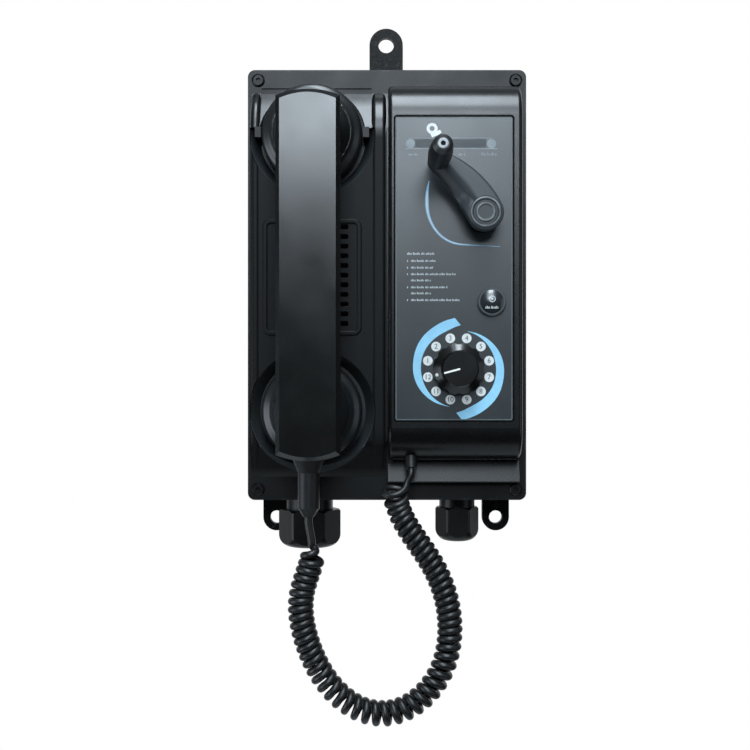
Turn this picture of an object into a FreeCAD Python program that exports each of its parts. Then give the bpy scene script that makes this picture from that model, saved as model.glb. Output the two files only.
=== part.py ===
import FreeCAD, Part
import math
import os

# A wall-mounted sound-powered telephone: a sealed box with a handset in a cradle on its left,
# and a hand generator, a call button and a 12-way selector in a raised panel on its right.
# Millimetres. The wall is the plane y = 0, the front faces -Y, and +Z is up. The origin is the
# middle of the box's back. A depth, written d, is a distance forward of the wall, so y = -d.

V = FreeCAD.Vector
UP = V(0, 0, 1)
FORWARD = V(0, -1, 0)

# Box
BOX_W = 167.0
BOX_H = 258.0
BOX_CORNER_R = 4.3
RIM_D = 57.0
FLANGE_T = 4.0
CASE_INSET = 0.8
CASE_WALL = 3.5
CASE_FLOOR = 4.0
CASE_RIM_T = 6.0
CASE_RIM_W = 8.0
CASE_RIM_R = 16.0
CASE_ROOM_R = 2.0
GROOVE_IN = 3.2
GROOVE_W = 2.4
GROOVE_T = 2.2
GROOVE_R = 18.0
COVER_WALL = 3.0
CORNER_SCREW_IN = 6.3
CORNER_SCREW_R = 2.0
CORNER_SCREW_L = 16.0
SCREW_HEAD_R = 3.7
SCREW_HEAD_T = 2.4
SCREW_HEAD_EDGE = 0.8
SCREW_SOCKET_R = 1.4
SCREW_SOCKET_T = 1.6
SCREW_SEAT_T = 1.2
SCREW_END_GAP = 2.0
SCREW_BOSS_R = 5.0

# Clearances: a free hole about a fixed part, and a bearing about a turning or sliding part
FREE_FIT = 0.1
RUN_FIT = 0.04
SLIDE_GAP = 0.4

# Wall lugs
LUG_T = 5.0
TOP_LUG_W = 21.5
TOP_LUG_HOLE_R = 5.0
TOP_LUG_OUT = 29.5
LOW_LUG_W = 17.3
LOW_LUG_HOLE_R = 4.2
LOW_LUG_OUT = 16.5
LOW_LUG_X = 70.5

# Raised panel on the right
PANEL_X0 = 0.6
PANEL_X1 = 78.6
PANEL_Z = 117.6
PANEL_RISE = 24.0
PANEL_TOP_R = 20.0
PANEL_FOOT_R = 20.0
PANEL_LIP_H = 12.9
PANEL_LIP_ROOT = 4.0
PANEL_LIP_OUT = 9.0
PANEL_LIP_EDGE = 0.6
PANEL_EDGE_R = 2.4
PLATE_X = 38.6
PLATE_Z = 7.7
PLATE_W = 70.0
PLATE_H = 178.0
PLATE_R = 2.5
PLATE_T = 0.9
PLATE_SUNK = 0.3
PLATE_FIT = 0.2

# Cradle on the left
PAD_X0 = -81.0
PAD_RISE = 12.0
PAD_Z = 115.0
PAD_TOP_SLOPE = 23.0
PAD_FOOT_SLOPE = 20.0
LEFT_RAIL_W = 5.8
RIGHT_RAIL_W = 8.7
RIGHT_RAIL_GAP = 1.1
RAIL_RISE = 0.8
RAIL_TOP_R = 28.0
RAIL_EDGE_R = 2.6
PAD_BEND_R = 9.0
SCOOP_T = 1.2
SCOOP_OVER = 3.0
CUP_R = 37.0
CUP_FLOOR_R = 31.5
CUP_FLOOR_RISE = 1.0
CUP_LEDGE_UP = 4.0
BEAD_W = 58.6
BEAD_H = 69.0
BEAD_T = 3.0
BEAD_EDGE_R = 0.9
BEAD_RISE = 1.0
BEAD_R = 5.0
BEAD_Z = 3.7
LOUVRES = 11
LOUVRE_W = 43.0
LOUVRE_H = 2.6
LOUVRE_END_R = 1.2
LOUVRE_PITCH = 5.7
LOUVRE_TILT = 30.0
LOUVRE_CUT_L = 10.0
CATCH_T = 3.5
CATCH_H = 6.0
CATCH_RISE = 14.0

# Handset
HANDSET_X = -44.3
EAR_Z = 88.0
MOUTH_Z = -75.3
HANDLE_W = 35.5
HANDLE_TOP = 103.6
HANDLE_FOOT = -101.5
HANDLE_ARCH = 3.4
HANDLE_BACK = 34.0
HANDLE_FRONT = 60.0
HANDLE_CHAMFER = 2.2
HANDLE_BACK_R = 5.0
HEAD_R = 29.7
HEAD_BASE = 12.0
HEAD_SIDE = 1.5
HEAD_TOP_R = 17.5
HEAD_TOP = 54.0
HEAD_WAIST_OUT = 0.42
HEAD_WAIST_UP = 0.42
COLLAR_IN = 3.2
COLLAR_T = 6.0
CAP_FACE = 2.0
CAP_FACE_T = 4.0
CAP_DISH = 1.6
CAP_DISH_R = 21.0
CAP_EDGE_R = 3.0
CAP_EDGE_SHARE = 0.3
CAP_CROWN_SHARE = 0.6
CAP_HOLE_R = 1.6
CAP_HOLE_RING = 9.0
CAP_HOLES = 6
CAPSULE_IN = 3.5
CAPSULE_BACK_IN = 5.0
CAPSULE_L = 22.0
CAPSULE_STEP = 13.0
CAPSULE_RIM_W = 6.0
CAPSULE_RIM_T = 2.0
GASKET_T = 2.0
GASKET_W = 3.5
DUCT_R = 4.0
MAGNET_R = 4.0
MAGNET_IN = 3.5
BOOT_TOP_R = 9.0
BOOT_R = 6.1
BOOT_TIP_R = 2.9
BOOT_CONE_L = 7.0
BOOT_BODY_L = 20.0
BOOT_TIP_L = 5.0
BOOT_ROOT_L = 8.0
BOOT_COLLAR_L = 3.0

# Crank and hand generator
CRANK_X = 55.0
CRANK_Z = 37.7
CRANK_ANGLE = 132.5
CRANK_ARM_L = 39.4
SHAFT_R = 4.0
BEARING_R = 7.0
BEARING_L = 24.0
BEARING_FLANGE_R = 9.5
BEARING_FLANGE_T = 2.0
SEAL_R = 6.0
SEAL_T = 2.0
ARM_T = 10.0
ARM_OUT = 12.0
ARM_GAP = 1.0
ARM_EDGE_R = 1.6
HUB_R = 10.4
HUB_COLLAR_R = 8.0
ARM_TIP_R = 5.8
ARM_BULGE_R = 62.0
ARM_HOLLOW_R = 130.0
HUB_CAP_R = 8.7
HUB_CAP_T = 2.7
HUB_CAP_RIM_W = 1.0
HUB_CAP_DISH_T = 1.0
HUB_CAP_RING_R = 4.9
HUB_CAP_RING_W = 0.6
HUB_CAP_RING_T = 0.7
HUB_CAP_EDGE = 0.5
HUB_CAP_OUT = 0.2
HUB_COLLAR_ROOT = 3.0
HUB_SCREW_R = 2.5
HUB_SCREW_HEAD_R = 4.5
HUB_SCREW_HEAD_T = 2.3
HUB_SCREW_L = 10.0
GRIP_R = 6.0
GRIP_BELLY_R = 6.6
GRIP_TIP_R = 5.4
GRIP_L = 45.0
GRIP_BACK_EDGE = 1.5
GRIP_FRONT_EDGE = 2.0
GRIP_BELLY_UP = 0.4
GRIP_PIN_R = 2.5
GRIP_PIN_OUT = 0.3
GRIP_SCREW_R = 1.5
GRIP_SCREW_L = 7.0
GRIP_WASHER_R = 2.9
GRIP_WASHER_T = 1.2
GEAR_MODULE = 0.8
GEAR_TEETH = 46
PINION_TEETH = 12
GEAR_T = 6.0
GEAR_D = 44.0
GEAR_RIM_W = 4.0
GEAR_HUB_W = 3.5
GEAR_DISH_T = 2.0
GEAR_WINDOWS = 5
GEAR_WINDOW_R = 2.6
PRESSURE_ANGLE = 20.0
TOOTH_SHARE = 0.42
TOOTH_ROOT = 1.25
PINION_TURN = 240.0
ROTOR_SHAFT_R = 2.0
ROTOR_R = 10.5
ROTOR_END_GAP = 1.5
ROTOR_SHAFT_OUT = 1.5
ROTOR_SHAFT_FRONT = 0.5
BUSH_OUT = 1.0
BUSH_R = 4.0
AIR_GAP = 0.7
STATOR_R = 18.0
STATOR_RING_T = 2.0
POLES = 4
POLE_W = 7.0
POLE_END_GAP = 3.0
POLE_ANGLE = 45.0
COIL_W = 12.0
COIL_T = 2.8
COIL_GAP = 0.6
COIL_OVER = 2.0
GEN_PLATE_T = 2.5
GEN_LENGTH = 24.0
GEN_PLATE_W = 50.0
GEN_PLATE_H = 70.0
GEN_POST_X = 20.5
GEN_POST_Z = 30.5
GEN_POST_R = 3.5
GEN_SCREW_R = 2.0
GEN_SCREW_GRIP = 12.0
GEN_SCREW_HEAD_T = 2.2
GEN_PLATE_R = 4.0
GEN_SHIFT_X = -4.5
GEN_SHIFT_Z = -7.2

# Selector
SELECTOR_X = 41.2
SELECTOR_Z = -50.5
SELECTOR_REST = 195.0
KNOB_R = 15.0
KNOB_TOP_R = 10.6
KNOB_T = 15.0
KNOB_LIFT = 1.3
KNOB_CROWN_T = 3.0
KNOB_EDGE = 0.8
KNOB_SKIRT = 2.0
KNOB_SKIRT_SLOPE = 2.8
KNOB_FLUTES = 12
FLUTE_R = 3.2
FLUTE_OUT = 2.3
KNOB_HOLLOW_R = 9.5
KNOB_HOLLOW_T = 4.0
POINTER_L = 9.4
POINTER_W = 1.0
POINTER_T = 1.0
POINTER_START = 0.2
POINTER_DOT_R = 0.9
POINTER_DOT_OUT = 13.2
GRUB_R = 1.5
GRUB_UP = 8.0
GRUB_L = 5.6
SELECTOR_SHAFT_R = 3.0
SWITCH_R = 16.0
SWITCH_L = 18.0
SWITCH_BUSH_R = 4.75
SWITCH_BUSH_L = 7.5
SELECTOR_NUT_AF = 13.0
SELECTOR_NUT_T = 2.5
SWITCH_WAYS = 12
SWITCH_BORE_UP = 5.5
SWITCH_SHAFT_UP = 6.0
TAG_RING_R = 12.0
TAG_T = 1.0
TAG_W = 2.0
TAG_L = 6.0

# Call button
BUTTON_X = 60.4
BUTTON_Z = -11.6
BUTTON_R = 6.8
BUTTON_OUT = 4.2
BEZEL_R = 8.4
BEZEL_T = 2.7
BEZEL_EDGE = 0.8
BEZEL_BARREL_R = 7.9
BEZEL_BARREL_L = 10.7
BUTTON_BODY_L = 11.0
BUTTON_STEM_R = 2.0
BUTTON_STEM_L = 6.0
BUTTON_WELL_L = 6.0
BUTTON_CROWN = 1.6
BUTTON_SWITCH_L = 12.0
BUTTON_TAG_X = 4.0
BUTTON_TAG_T = 0.8
BUTTON_TAG_W = 2.8
BUTTON_TAG_L = 5.0

# Sounder behind the louvres
SOUNDER_R = 26.0
SOUNDER_L = 22.0
SOUNDER_WALL = 2.0
SOUNDER_COLLAR_T = 2.3
SOUNDER_COLLAR_L = 5.0
SOUNDER_FILM_D = 60.0
SOUNDER_FILM_T = 0.6
SOUNDER_COIL_R = 10.0
SOUNDER_YOKE_W = 4.0
SOUNDER_YOKE_T = 5.0
SOUNDER_COIL_GAP = 1.0
SOUNDER_Z = 1.5

# Board, terminals and hook switch
BOARD_X = -45.0
BOARD_Z = 18.0
BOARD_W = 60.0
BOARD_H = 86.0
BOARD_T = 1.6
BOARD_POST_L = 8.4
BOARD_POST_R = 3.5
BOARD_POST_IN = 4.0
BOARD_R = 1.5
BLOCK_X = 25.0
BLOCK_Z = -96.0
BLOCK_L = 60.0
BLOCK_W = 14.0
BLOCK_T = 14.0
BLOCK_WAYS = 6
BLOCK_SCREW_R = 2.2
BLOCK_SCREW_UP = 8.0
BLOCK_SCREW_T = 5.0
BLOCK_FIN_W = 1.2
BLOCK_FIN_H = 3.0
HOOK_W = 24.0
HOOK_H = 7.0
HOOK_T = 5.5
HOOK_EDGE_R = 1.0

# Parts on the board, from its left and lower edge: left, right, low, high, height
BOARD_PARTS = [
    (8.0, 32.0, 60.0, 78.0, 15.0),
    (38.0, 52.0, 64.0, 74.0, 9.0),
    (38.0, 48.0, 34.0, 50.0, 7.0),
    (10.0, 50.0, 4.0, 12.0, 7.0),
]
CAPACITOR = (14.0, 44.0, 5.0, 12.0)

# Cable glands under the box
GLAND_D = 27.0
GLAND_LEFT_X = -48.0
GLAND_RIGHT_X = 44.0
LOCKNUT_T = 5.0
LOCKNUT_SHARE = 0.94
SPIGOT_SHARE = 0.55
NUT_THREAD_SHARE = 0.85
SPIGOT_SLACK = 0.5
GLAND_WALL = 1.5
GLAND_MOUTH_GAP = 0.8
NUT_TOP_EDGE = 1.0
NUT_DOME_R = 7.5
NUT_CORNER_CUT = 0.4

# Cord grommet and curly cord
GROMMET_X = 14.0
GROMMET_TILT = 64.0
GROMMET_R = 3.9
GROMMET_TIP_R = 3.1
GROMMET_L = 7.0
GROMMET_NECK_R = 2.9
GROMMET_NECK_L = 9.0
GROMMET_ROOT_L = 5.0
WIRE_R = 1.9
WIRE_SIDES = 5
CURL_R = 5.6
CURLS = 51
CURL_CLOSE = 1.25
CURL_EASE = 1.5
CURL_STRETCH = 1.5
CORD_TAIL_L = 4.0
GAP_STEP = 1.0
TINY = 1e-3

# The curly cord's way from the grommet down, round and up to the boot: (x, d, z)
CORD_ROUTE = [
    (4.4, 80.0, -116.5),
    (4.6, 81.0, -124.5),
    (7.0, 82.3, -133.5),
    (12.5, 84.0, -143.5),
    (20.8, 85.5, -155.0),
    (29.0, 87.5, -168.0),
    (34.6, 90.0, -184.0),
    (36.0, 92.0, -201.5),
    (32.8, 94.0, -218.0),
    (24.8, 96.0, -231.7),
    (13.5, 98.0, -241.0),
    (0.5, 99.5, -245.2),
    (-12.5, 100.5, -243.6),
    (-23.8, 101.5, -237.3),
    (-33.0, 102.3, -228.0),
    (-40.2, 103.0, -216.5),
    (-45.5, 103.5, -203.5),
    (-48.7, 104.0, -190.0),
    (-48.8, 104.0, -177.5),
    (-45.5, 104.0, -166.5),
    (-41.8, 104.0, -156.5),
    (-42.5, 104.0, -147.0),
]

# Sizes worked out from those above
CASE_W = BOX_W - 2 * CASE_INSET
CASE_H = BOX_H - 2 * CASE_INSET
CASE_D = RIM_D - FLANGE_T
CASE_Z0 = -CASE_H / 2
PANEL_D = RIM_D + PANEL_RISE
PANEL_BACK_D = PANEL_D - COVER_WALL
PANEL_FOOT_Z = PANEL_LIP_H - PANEL_Z
PLATE_D = PANEL_D - PLATE_SUNK
PAD_D = RIM_D + PAD_RISE
PAD_WALL = COVER_WALL + SCOOP_T
PAD_BACK_D = PAD_D - PAD_WALL
LEFT_RAIL = (PAD_X0, PAD_X0 + LEFT_RAIL_W)
RIGHT_RAIL = (PANEL_X0 - RIGHT_RAIL_GAP - RIGHT_RAIL_W, PANEL_X0 - RIGHT_RAIL_GAP)
CUP_FLOOR_D = RIM_D + CUP_FLOOR_RISE
GEN_FRONT_D = GEAR_D - BUSH_OUT
GEN_BACK_D = GEN_FRONT_D - 2 * GEN_PLATE_T - GEN_LENGTH
GEAR_R = GEAR_MODULE * GEAR_TEETH / 2
PINION_R = GEAR_MODULE * PINION_TEETH / 2
PINION_X = CRANK_X + (GEAR_R + PINION_R) * math.cos(math.radians(PINION_TURN))
PINION_Z = CRANK_Z + (GEAR_R + PINION_R) * math.sin(math.radians(PINION_TURN))
GEN_X = CRANK_X + GEN_SHIFT_X
GEN_Z = CRANK_Z + GEN_SHIFT_Z
ARM_BACK_D = PANEL_D + ARM_OUT
ARM_FRONT_D = ARM_BACK_D + ARM_T
BEARING_FRONT_D = PLATE_D + BEARING_FLANGE_T
HUB_CAP_BACK_D = ARM_FRONT_D - HUB_CAP_T
HUB_SEAT_D = HUB_CAP_BACK_D - HUB_SCREW_HEAD_T - FREE_FIT
GRIP_X = CRANK_X + CRANK_ARM_L * math.cos(math.radians(CRANK_ANGLE))
GRIP_Z = CRANK_Z + CRANK_ARM_L * math.sin(math.radians(CRANK_ANGLE))
GRIP_BACK_D = ARM_FRONT_D + SLIDE_GAP
GRIP_FRONT_D = GRIP_BACK_D + GRIP_L
KNOB_BACK_D = PLATE_D + KNOB_LIFT
KNOB_FRONT_D = KNOB_BACK_D + KNOB_T
BUTTON_FRONT_D = PANEL_D + BUTTON_OUT
BEZEL_BACK_D = PLATE_D - BEZEL_BARREL_L
HANDLE_BACK_D = RIM_D + HANDLE_BACK
HANDLE_FRONT_D = RIM_D + HANDLE_FRONT
HANDLE_MID_D = (HANDLE_BACK_D + HANDLE_FRONT_D) / 2
HEAD_D = RIM_D + HEAD_BASE
COLLAR_R = HEAD_R - COLLAR_IN
CAPSULE_R = COLLAR_R - CAPSULE_IN
CAPSULE_BACK_R = CAPSULE_R - CAPSULE_BACK_IN
MAGNET_OUT = CAPSULE_R - GASKET_W - MAGNET_R - MAGNET_IN
CAP_INNER_D = RIM_D + CAP_FACE + CAP_FACE_T
CAPSULE_D = CAP_INNER_D + GASKET_T
CAPSULE_BACK_D = CAPSULE_D + CAPSULE_L
BOOT_TIP_Z = HANDLE_FOOT - BOOT_CONE_L - BOOT_BODY_L - BOOT_TIP_L


# General shapes


def at(x, d, z):
    """The point at x, z that is d in front of the wall."""
    return V(x, -d, z)


def rod(x, z, r, d0, d1):
    """A round bar that runs forward from depth d0 to depth d1."""
    return Part.makeCylinder(r, d1 - d0, at(x, d0, z), FORWARD)


def tube(x, z, outer_r, inner_r, d0, d1):
    return rod(x, z, outer_r, d0, d1).cut(rod(x, z, inner_r, d0, d1))


def block(x0, x1, d0, d1, z0, z1):
    return Part.makeBox(x1 - x0, d1 - d0, z1 - z0, at(x0, d1, z0))


def arc_points(centre, r, start, turn):
    """Three points of an arc in the plane of the wall, start and turn in degrees."""
    angles = [math.radians(start + turn * share) for share in (0, 0.5, 1)]
    return [centre + V(r * math.cos(a), 0, r * math.sin(a)) for a in angles]


def joined(edges):
    """The face inside a closed ring of edges and gaps, each gap closed with a straight line."""
    ring = []
    for k, edge in enumerate(edges):
        ring.append(edge)
        end = edge.Vertexes[-1].Point
        start = edges[(k + 1) % len(edges)].Vertexes[0].Point
        if end.distanceToPoint(start) > 1e-6:
            ring.append(Part.LineSegment(end, start).toShape())
    return Part.Face(Part.Wire(ring))


def slab(x, z, w, h, r, d0, d1):
    """A plate with rounded corners, parallel to the wall."""
    arcs = []
    for k, (side, level) in enumerate(((1, 1), (-1, 1), (-1, -1), (1, -1))):
        centre = at(x + side * (w / 2 - r), d0, z + level * (h / 2 - r))
        arcs.append(Part.Arc(*arc_points(centre, r, 90 * k, 90)).toShape())
    return joined(arcs).extrude(V(0, d0 - d1, 0))


def hexagon(across_flats):
    """The corners of a flat-sided hexagon about the origin, as (u, v)."""
    r = across_flats / math.sqrt(3)
    return [(r * math.cos(math.pi * k / 3), r * math.sin(math.pi * k / 3)) for k in range(6)]


def hex_bar_forward(x, z, across_flats, d0, d1):
    points = [at(x + u, d0, z + v) for u, v in hexagon(across_flats)]
    return Part.Face(Part.makePolygon(points + points[:1])).extrude(V(0, d0 - d1, 0))


def hex_bar_up(x, d, across_flats, z0, z1):
    points = [at(x + u, d + v, z0) for u, v in hexagon(across_flats)]
    return Part.Face(Part.makePolygon(points + points[:1])).extrude(V(0, 0, z1 - z0))


def pin_up(x, d, r, z0, z1):
    """A round bar that stands upright from z0 to z1."""
    return Part.makeCylinder(r, z1 - z0, at(x, d, z0), UP)


def turned(x, z, outline):
    """A solid turned about the forward axis at x, z, from (radius, depth) corners in order."""
    points = [at(x + r, d, z) for r, d in outline]
    face = Part.Face(Part.makePolygon(points + points[:1]))
    return face.revolve(at(x, 0, z), FORWARD, 360)


def turned_up(x, d, outline):
    """A solid turned about the upright axis at x, d, from (radius, z) corners in order."""
    points = [at(x + r, d, z) for r, z in outline]
    face = Part.Face(Part.makePolygon(points + points[:1]))
    return face.revolve(at(x, d, 0), UP, 360)


def side_block(x0, x1, z0, z1, d0, d1, foot_r, top_r):
    """A block with a rounded upper and lower front edge, drawn from the side and spread along X."""
    half = math.sqrt(0.5)
    points = [
        at(x0, d0, z0),
        at(x0, d1 - foot_r, z0),
        at(x0, d1 - foot_r * (1 - half), z0 + foot_r * (1 - half)),
        at(x0, d1, z0 + foot_r),
        at(x0, d1, z1 - top_r),
        at(x0, d1 - top_r * (1 - half), z1 - top_r * (1 - half)),
        at(x0, d1 - top_r, z1),
        at(x0, d0, z1),
    ]
    low = Part.Arc(*points[1:4]).toShape()
    high = Part.Arc(*points[4:7]).toShape()
    back = Part.LineSegment(points[7], points[0]).toShape()
    return joined([low, high, back]).extrude(V(x1 - x0, 0, 0))


def side_prism(x0, x1, outline):
    """A solid from (z, depth) corners, spread along X."""
    points = [at(x0, d, z) for z, d in outline]
    return Part.Face(Part.makePolygon(points + points[:1])).extrude(V(x1 - x0, 0, 0))


def middle_of(edge):
    return edge.valueAt((edge.FirstParameter + edge.LastParameter) / 2)


def edges_where(shape, test):
    """The edges whose every end and middle point passes the test."""
    found = []
    for edge in shape.Edges:
        if all(test(p) for p in [v.Point for v in edge.Vertexes] + [middle_of(edge)]):
            found.append(edge)
    return found


def near(a, b):
    return abs(a - b) < 1e-4


def fused(solids):
    first, *rest = solids
    return first.multiFuse(rest).removeSplitter()


def corner_places(x, z, half_w, half_h):
    return [(x + s * half_w, z + t * half_h) for s in (-1, 1) for t in (-1, 1)]


def ring_places(x, z, r, count, start):
    """Points spaced evenly on a circle, the first at the angle start in degrees."""
    angles = [math.radians(start + 360 * k / count) for k in range(count)]
    return [(x + r * math.cos(a), z + r * math.sin(a)) for a in angles]


def turned_copies(shape, x, z, count, start):
    """Copies of a shape spread evenly about the forward axis at x, z."""
    copies = []
    for k in range(count):
        one = shape.copy()
        one.rotate(at(x, 0, z), FORWARD, start + 360 * k / count)
        copies.append(one)
    return copies


def largest(shape):
    return max(shape.Solids, key=lambda solid: solid.Volume)


# Box


CORNER_SCREWS = corner_places(0, 0, BOX_W / 2 - CORNER_SCREW_IN, BOX_H / 2 - CORNER_SCREW_IN)
BOARD_POSTS = corner_places(BOARD_X, BOARD_Z, BOARD_W / 2 - BOARD_POST_IN, BOARD_H / 2 - BOARD_POST_IN)
GEN_POSTS = corner_places(GEN_X, GEN_Z, GEN_POST_X, GEN_POST_Z)


def lug(x, hole_z, w, hole_r, wall_z):
    """A flat ear at the wall with a screw hole, rooted in the case."""
    toward = 1 if wall_z > hole_z else -1
    root = wall_z + toward * CASE_WALL
    low, high = sorted((hole_z, root))
    ear = rod(x, hole_z, w / 2, 0, LUG_T).fuse(block(x - w / 2, x + w / 2, 0, LUG_T, low, high))
    return ear, rod(x, hole_z, hole_r, 0, LUG_T)


def gasket_groove(d0, d1):
    outer = slab(0, 0, BOX_W - 2 * GROOVE_IN, BOX_H - 2 * GROOVE_IN, GROOVE_R, d0, d1)
    inner_in = GROOVE_IN + GROOVE_W
    inner = slab(0, 0, BOX_W - 2 * inner_in, BOX_H - 2 * inner_in, GROOVE_R - GROOVE_W, d0, d1)
    return outer.cut(inner)


def rear_case():
    body = slab(0, 0, CASE_W, CASE_H, BOX_CORNER_R - CASE_INSET, 0, CASE_D)
    inside = CASE_D - CASE_RIM_T
    room = slab(0, 0, CASE_W - 2 * CASE_WALL, CASE_H - 2 * CASE_WALL, CASE_ROOM_R, CASE_FLOOR, inside)
    mouth = slab(0, 0, BOX_W - 2 * CASE_RIM_W, BOX_H - 2 * CASE_RIM_W, CASE_RIM_R, inside, CASE_D)
    posts = [rod(x, z, SCREW_BOSS_R, CASE_FLOOR, CASE_D) for x, z in CORNER_SCREWS]
    posts += [rod(x, z, BOARD_POST_R, CASE_FLOOR, CASE_FLOOR + BOARD_POST_L) for x, z in BOARD_POSTS]
    lugs = [
        lug(0, BOX_H / 2 + TOP_LUG_OUT, TOP_LUG_W, TOP_LUG_HOLE_R, CASE_H / 2),
        lug(-LOW_LUG_X, -BOX_H / 2 - LOW_LUG_OUT, LOW_LUG_W, LOW_LUG_HOLE_R, CASE_Z0),
        lug(LOW_LUG_X, -BOX_H / 2 - LOW_LUG_OUT, LOW_LUG_W, LOW_LUG_HOLE_R, CASE_Z0),
    ]
    body = body.cut(room.fuse(mouth))
    inner_posts = [post.common(slab(0, 0, CASE_W, CASE_H, CASE_ROOM_R, 0, CASE_D)) for post in posts]
    body = fused([body] + inner_posts + [ear for ear, hole in lugs])
    holes = [hole for ear, hole in lugs]
    holes += [rod(x, z, CORNER_SCREW_R, CASE_D - CORNER_SCREW_L, CASE_D) for x, z in CORNER_SCREWS]
    holes += [gasket_groove(CASE_D - GROOVE_T, CASE_D)]
    holes += [gland_wall_hole(*gland) for gland in GLANDS.values()]
    return body.cut(holes)


def case_gasket():
    return gasket_groove(CASE_D - GROOVE_T, CASE_D)


def cover_screws():
    foot = CASE_D - CORNER_SCREW_L + SCREW_END_GAP
    seat = RIM_D - SCREW_SEAT_T
    front = seat + SCREW_HEAD_T
    outline = [
        (0, foot), (CORNER_SCREW_R, foot), (CORNER_SCREW_R, seat), (SCREW_HEAD_R, seat),
        (SCREW_HEAD_R, front - SCREW_HEAD_EDGE), (SCREW_HEAD_R - SCREW_HEAD_EDGE, front),
        (SCREW_SOCKET_R, front), (SCREW_SOCKET_R, front - SCREW_SOCKET_T), (0, front - SCREW_SOCKET_T),
    ]
    return Part.makeCompound([turned(x, z, outline) for x, z in CORNER_SCREWS])


def panel_shell():
    """The raised panel's outer form, with its long front edges rounded."""
    form = side_block(
        PANEL_X0, PANEL_X1, PANEL_FOOT_Z, PANEL_Z, CASE_D, PANEL_D, PANEL_FOOT_R, PANEL_TOP_R
    )
    sides = []
    for edge in form.Edges:
        p = middle_of(edge)
        on_side = near(p.x, PANEL_X0) or near(p.x, PANEL_X1)
        if on_side and -p.y > CASE_D + TINY and PANEL_FOOT_Z + TINY < p.z < PANEL_Z - TINY:
            sides.append(edge)
    return form.makeFillet(PANEL_EDGE_R, sides)


def panel_lip():
    """The sloping lip under the panel's rounded foot."""
    top = RIM_D + PANEL_LIP_ROOT
    foot = RIM_D + PANEL_LIP_OUT
    edge = PANEL_LIP_EDGE
    return side_prism(PANEL_X0, PANEL_X1, [
        (PANEL_FOOT_Z + PANEL_LIP_H / 2, CASE_D), (PANEL_FOOT_Z + PANEL_LIP_H / 2, top),
        (PANEL_FOOT_Z, top), (edge - PANEL_Z, foot), (-PANEL_Z, foot - edge), (-PANEL_Z, CASE_D),
    ])


def panel_room():
    w = COVER_WALL
    return side_block(
        PANEL_X0 + w, PANEL_X1 - w, PANEL_FOOT_Z + w, PANEL_Z - w, CASE_D, PANEL_BACK_D,
        PANEL_FOOT_R - w, PANEL_TOP_R - w,
    )


def pad_outline(sunk, low_d):
    """The cradle pad from the side, with its face and slopes sunk by a wall."""
    rise = PAD_D - sunk
    top_lean = math.atan2(PAD_RISE, PAD_TOP_SLOPE)
    foot_lean = math.atan2(PAD_RISE, PAD_FOOT_SLOPE)
    top_shift = sunk * math.tan(top_lean / 2)
    foot_shift = sunk * math.tan(foot_lean / 2)
    top_edge = sunk / math.sin(top_lean)
    foot_edge = sunk / math.sin(foot_lean)
    return [
        (foot_edge - PAD_Z, low_d),
        (foot_edge - PAD_Z, RIM_D),
        (foot_shift + PAD_FOOT_SLOPE - PAD_Z, rise),
        (PAD_Z - PAD_TOP_SLOPE - top_shift, rise),
        (PAD_Z - top_edge, RIM_D),
        (PAD_Z - top_edge, low_d),
    ]


def pad_shell():
    pad = side_prism(PAD_X0, PANEL_X0 + COVER_WALL, pad_outline(0, CASE_D))
    levels = (PAD_Z - PAD_TOP_SLOPE, PAD_FOOT_SLOPE - PAD_Z)
    bends = edges_where(pad, lambda p: near(p.y, -PAD_D) and any(near(p.z, z) for z in levels))
    return pad.makeFillet(PAD_BEND_R, bends)


def rail(x0, x1):
    """A rounded rail along the pad's side that bends back to the rim at its top."""
    front = PAD_D + RAIL_RISE
    drop = front - RIM_D
    bend_z = PAD_Z - math.sqrt(RAIL_TOP_R**2 - (RAIL_TOP_R - drop) ** 2)
    turn = math.acos(1 - drop / RAIL_TOP_R) / 2
    points = [
        at(x0, CASE_D, PAD_Z),
        at(x0, RIM_D, PAD_Z),
        at(
            x0, front - RAIL_TOP_R * (1 - math.cos(turn)), bend_z + RAIL_TOP_R * math.sin(turn)
        ),
        at(x0, front, bend_z),
        at(x0, front, PAD_FOOT_SLOPE - PAD_Z),
        at(x0, RIM_D, -PAD_Z),
        at(x0, CASE_D, -PAD_Z),
    ]
    bend = Part.Arc(*points[1:4]).toShape()
    rest = [Part.LineSegment(a, b).toShape() for a, b in zip(points[3:6], points[4:7])]
    bar = joined([bend] + rest).extrude(V(x1 - x0, 0, 0))
    sides = []
    for edge in bar.Edges:
        p = middle_of(edge)
        if -p.y > RIM_D + TINY and (near(p.x, x0) or near(p.x, x1)):
            sides.append(edge)
    return bar.makeFillet(RAIL_EDGE_R, sides)


def scoop():
    """A shallow flat recess in the pad's upper slope, between the rails."""
    low = PAD_Z - PAD_TOP_SLOPE
    outline = [
        (low, PAD_D - SCOOP_T),
        (PAD_Z, RIM_D - SCOOP_T),
        (PAD_Z + SCOOP_OVER, RIM_D - SCOOP_T),
        (PAD_Z + SCOOP_OVER, PAD_D + SCOOP_OVER),
        (low, PAD_D + SCOOP_OVER),
    ]
    return side_prism(LEFT_RAIL[1], RIGHT_RAIL[0], outline)


def cup_cut(z, ledge):
    """The hollow that a handset cap lies in: a bowl, and above a ledge only the cap's own round."""
    top = PAD_D + BEAD_RISE
    top_r = CUP_FLOOR_R + (CUP_R - CUP_FLOOR_R) * (top - CUP_FLOOR_D) / (PAD_D - CUP_FLOOR_D)
    bowl = Part.makeCone(CUP_FLOOR_R, top_r, top - CUP_FLOOR_D, at(HANDSET_X, CUP_FLOOR_D, z), FORWARD)
    if ledge:
        bowl = bowl.common(block(-BOX_W, BOX_W, CUP_FLOOR_D, top, z - BOX_H, z + CUP_LEDGE_UP))
    return bowl.fuse(rod(HANDSET_X, z, CUP_FLOOR_R, CUP_FLOOR_D, top))


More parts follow.
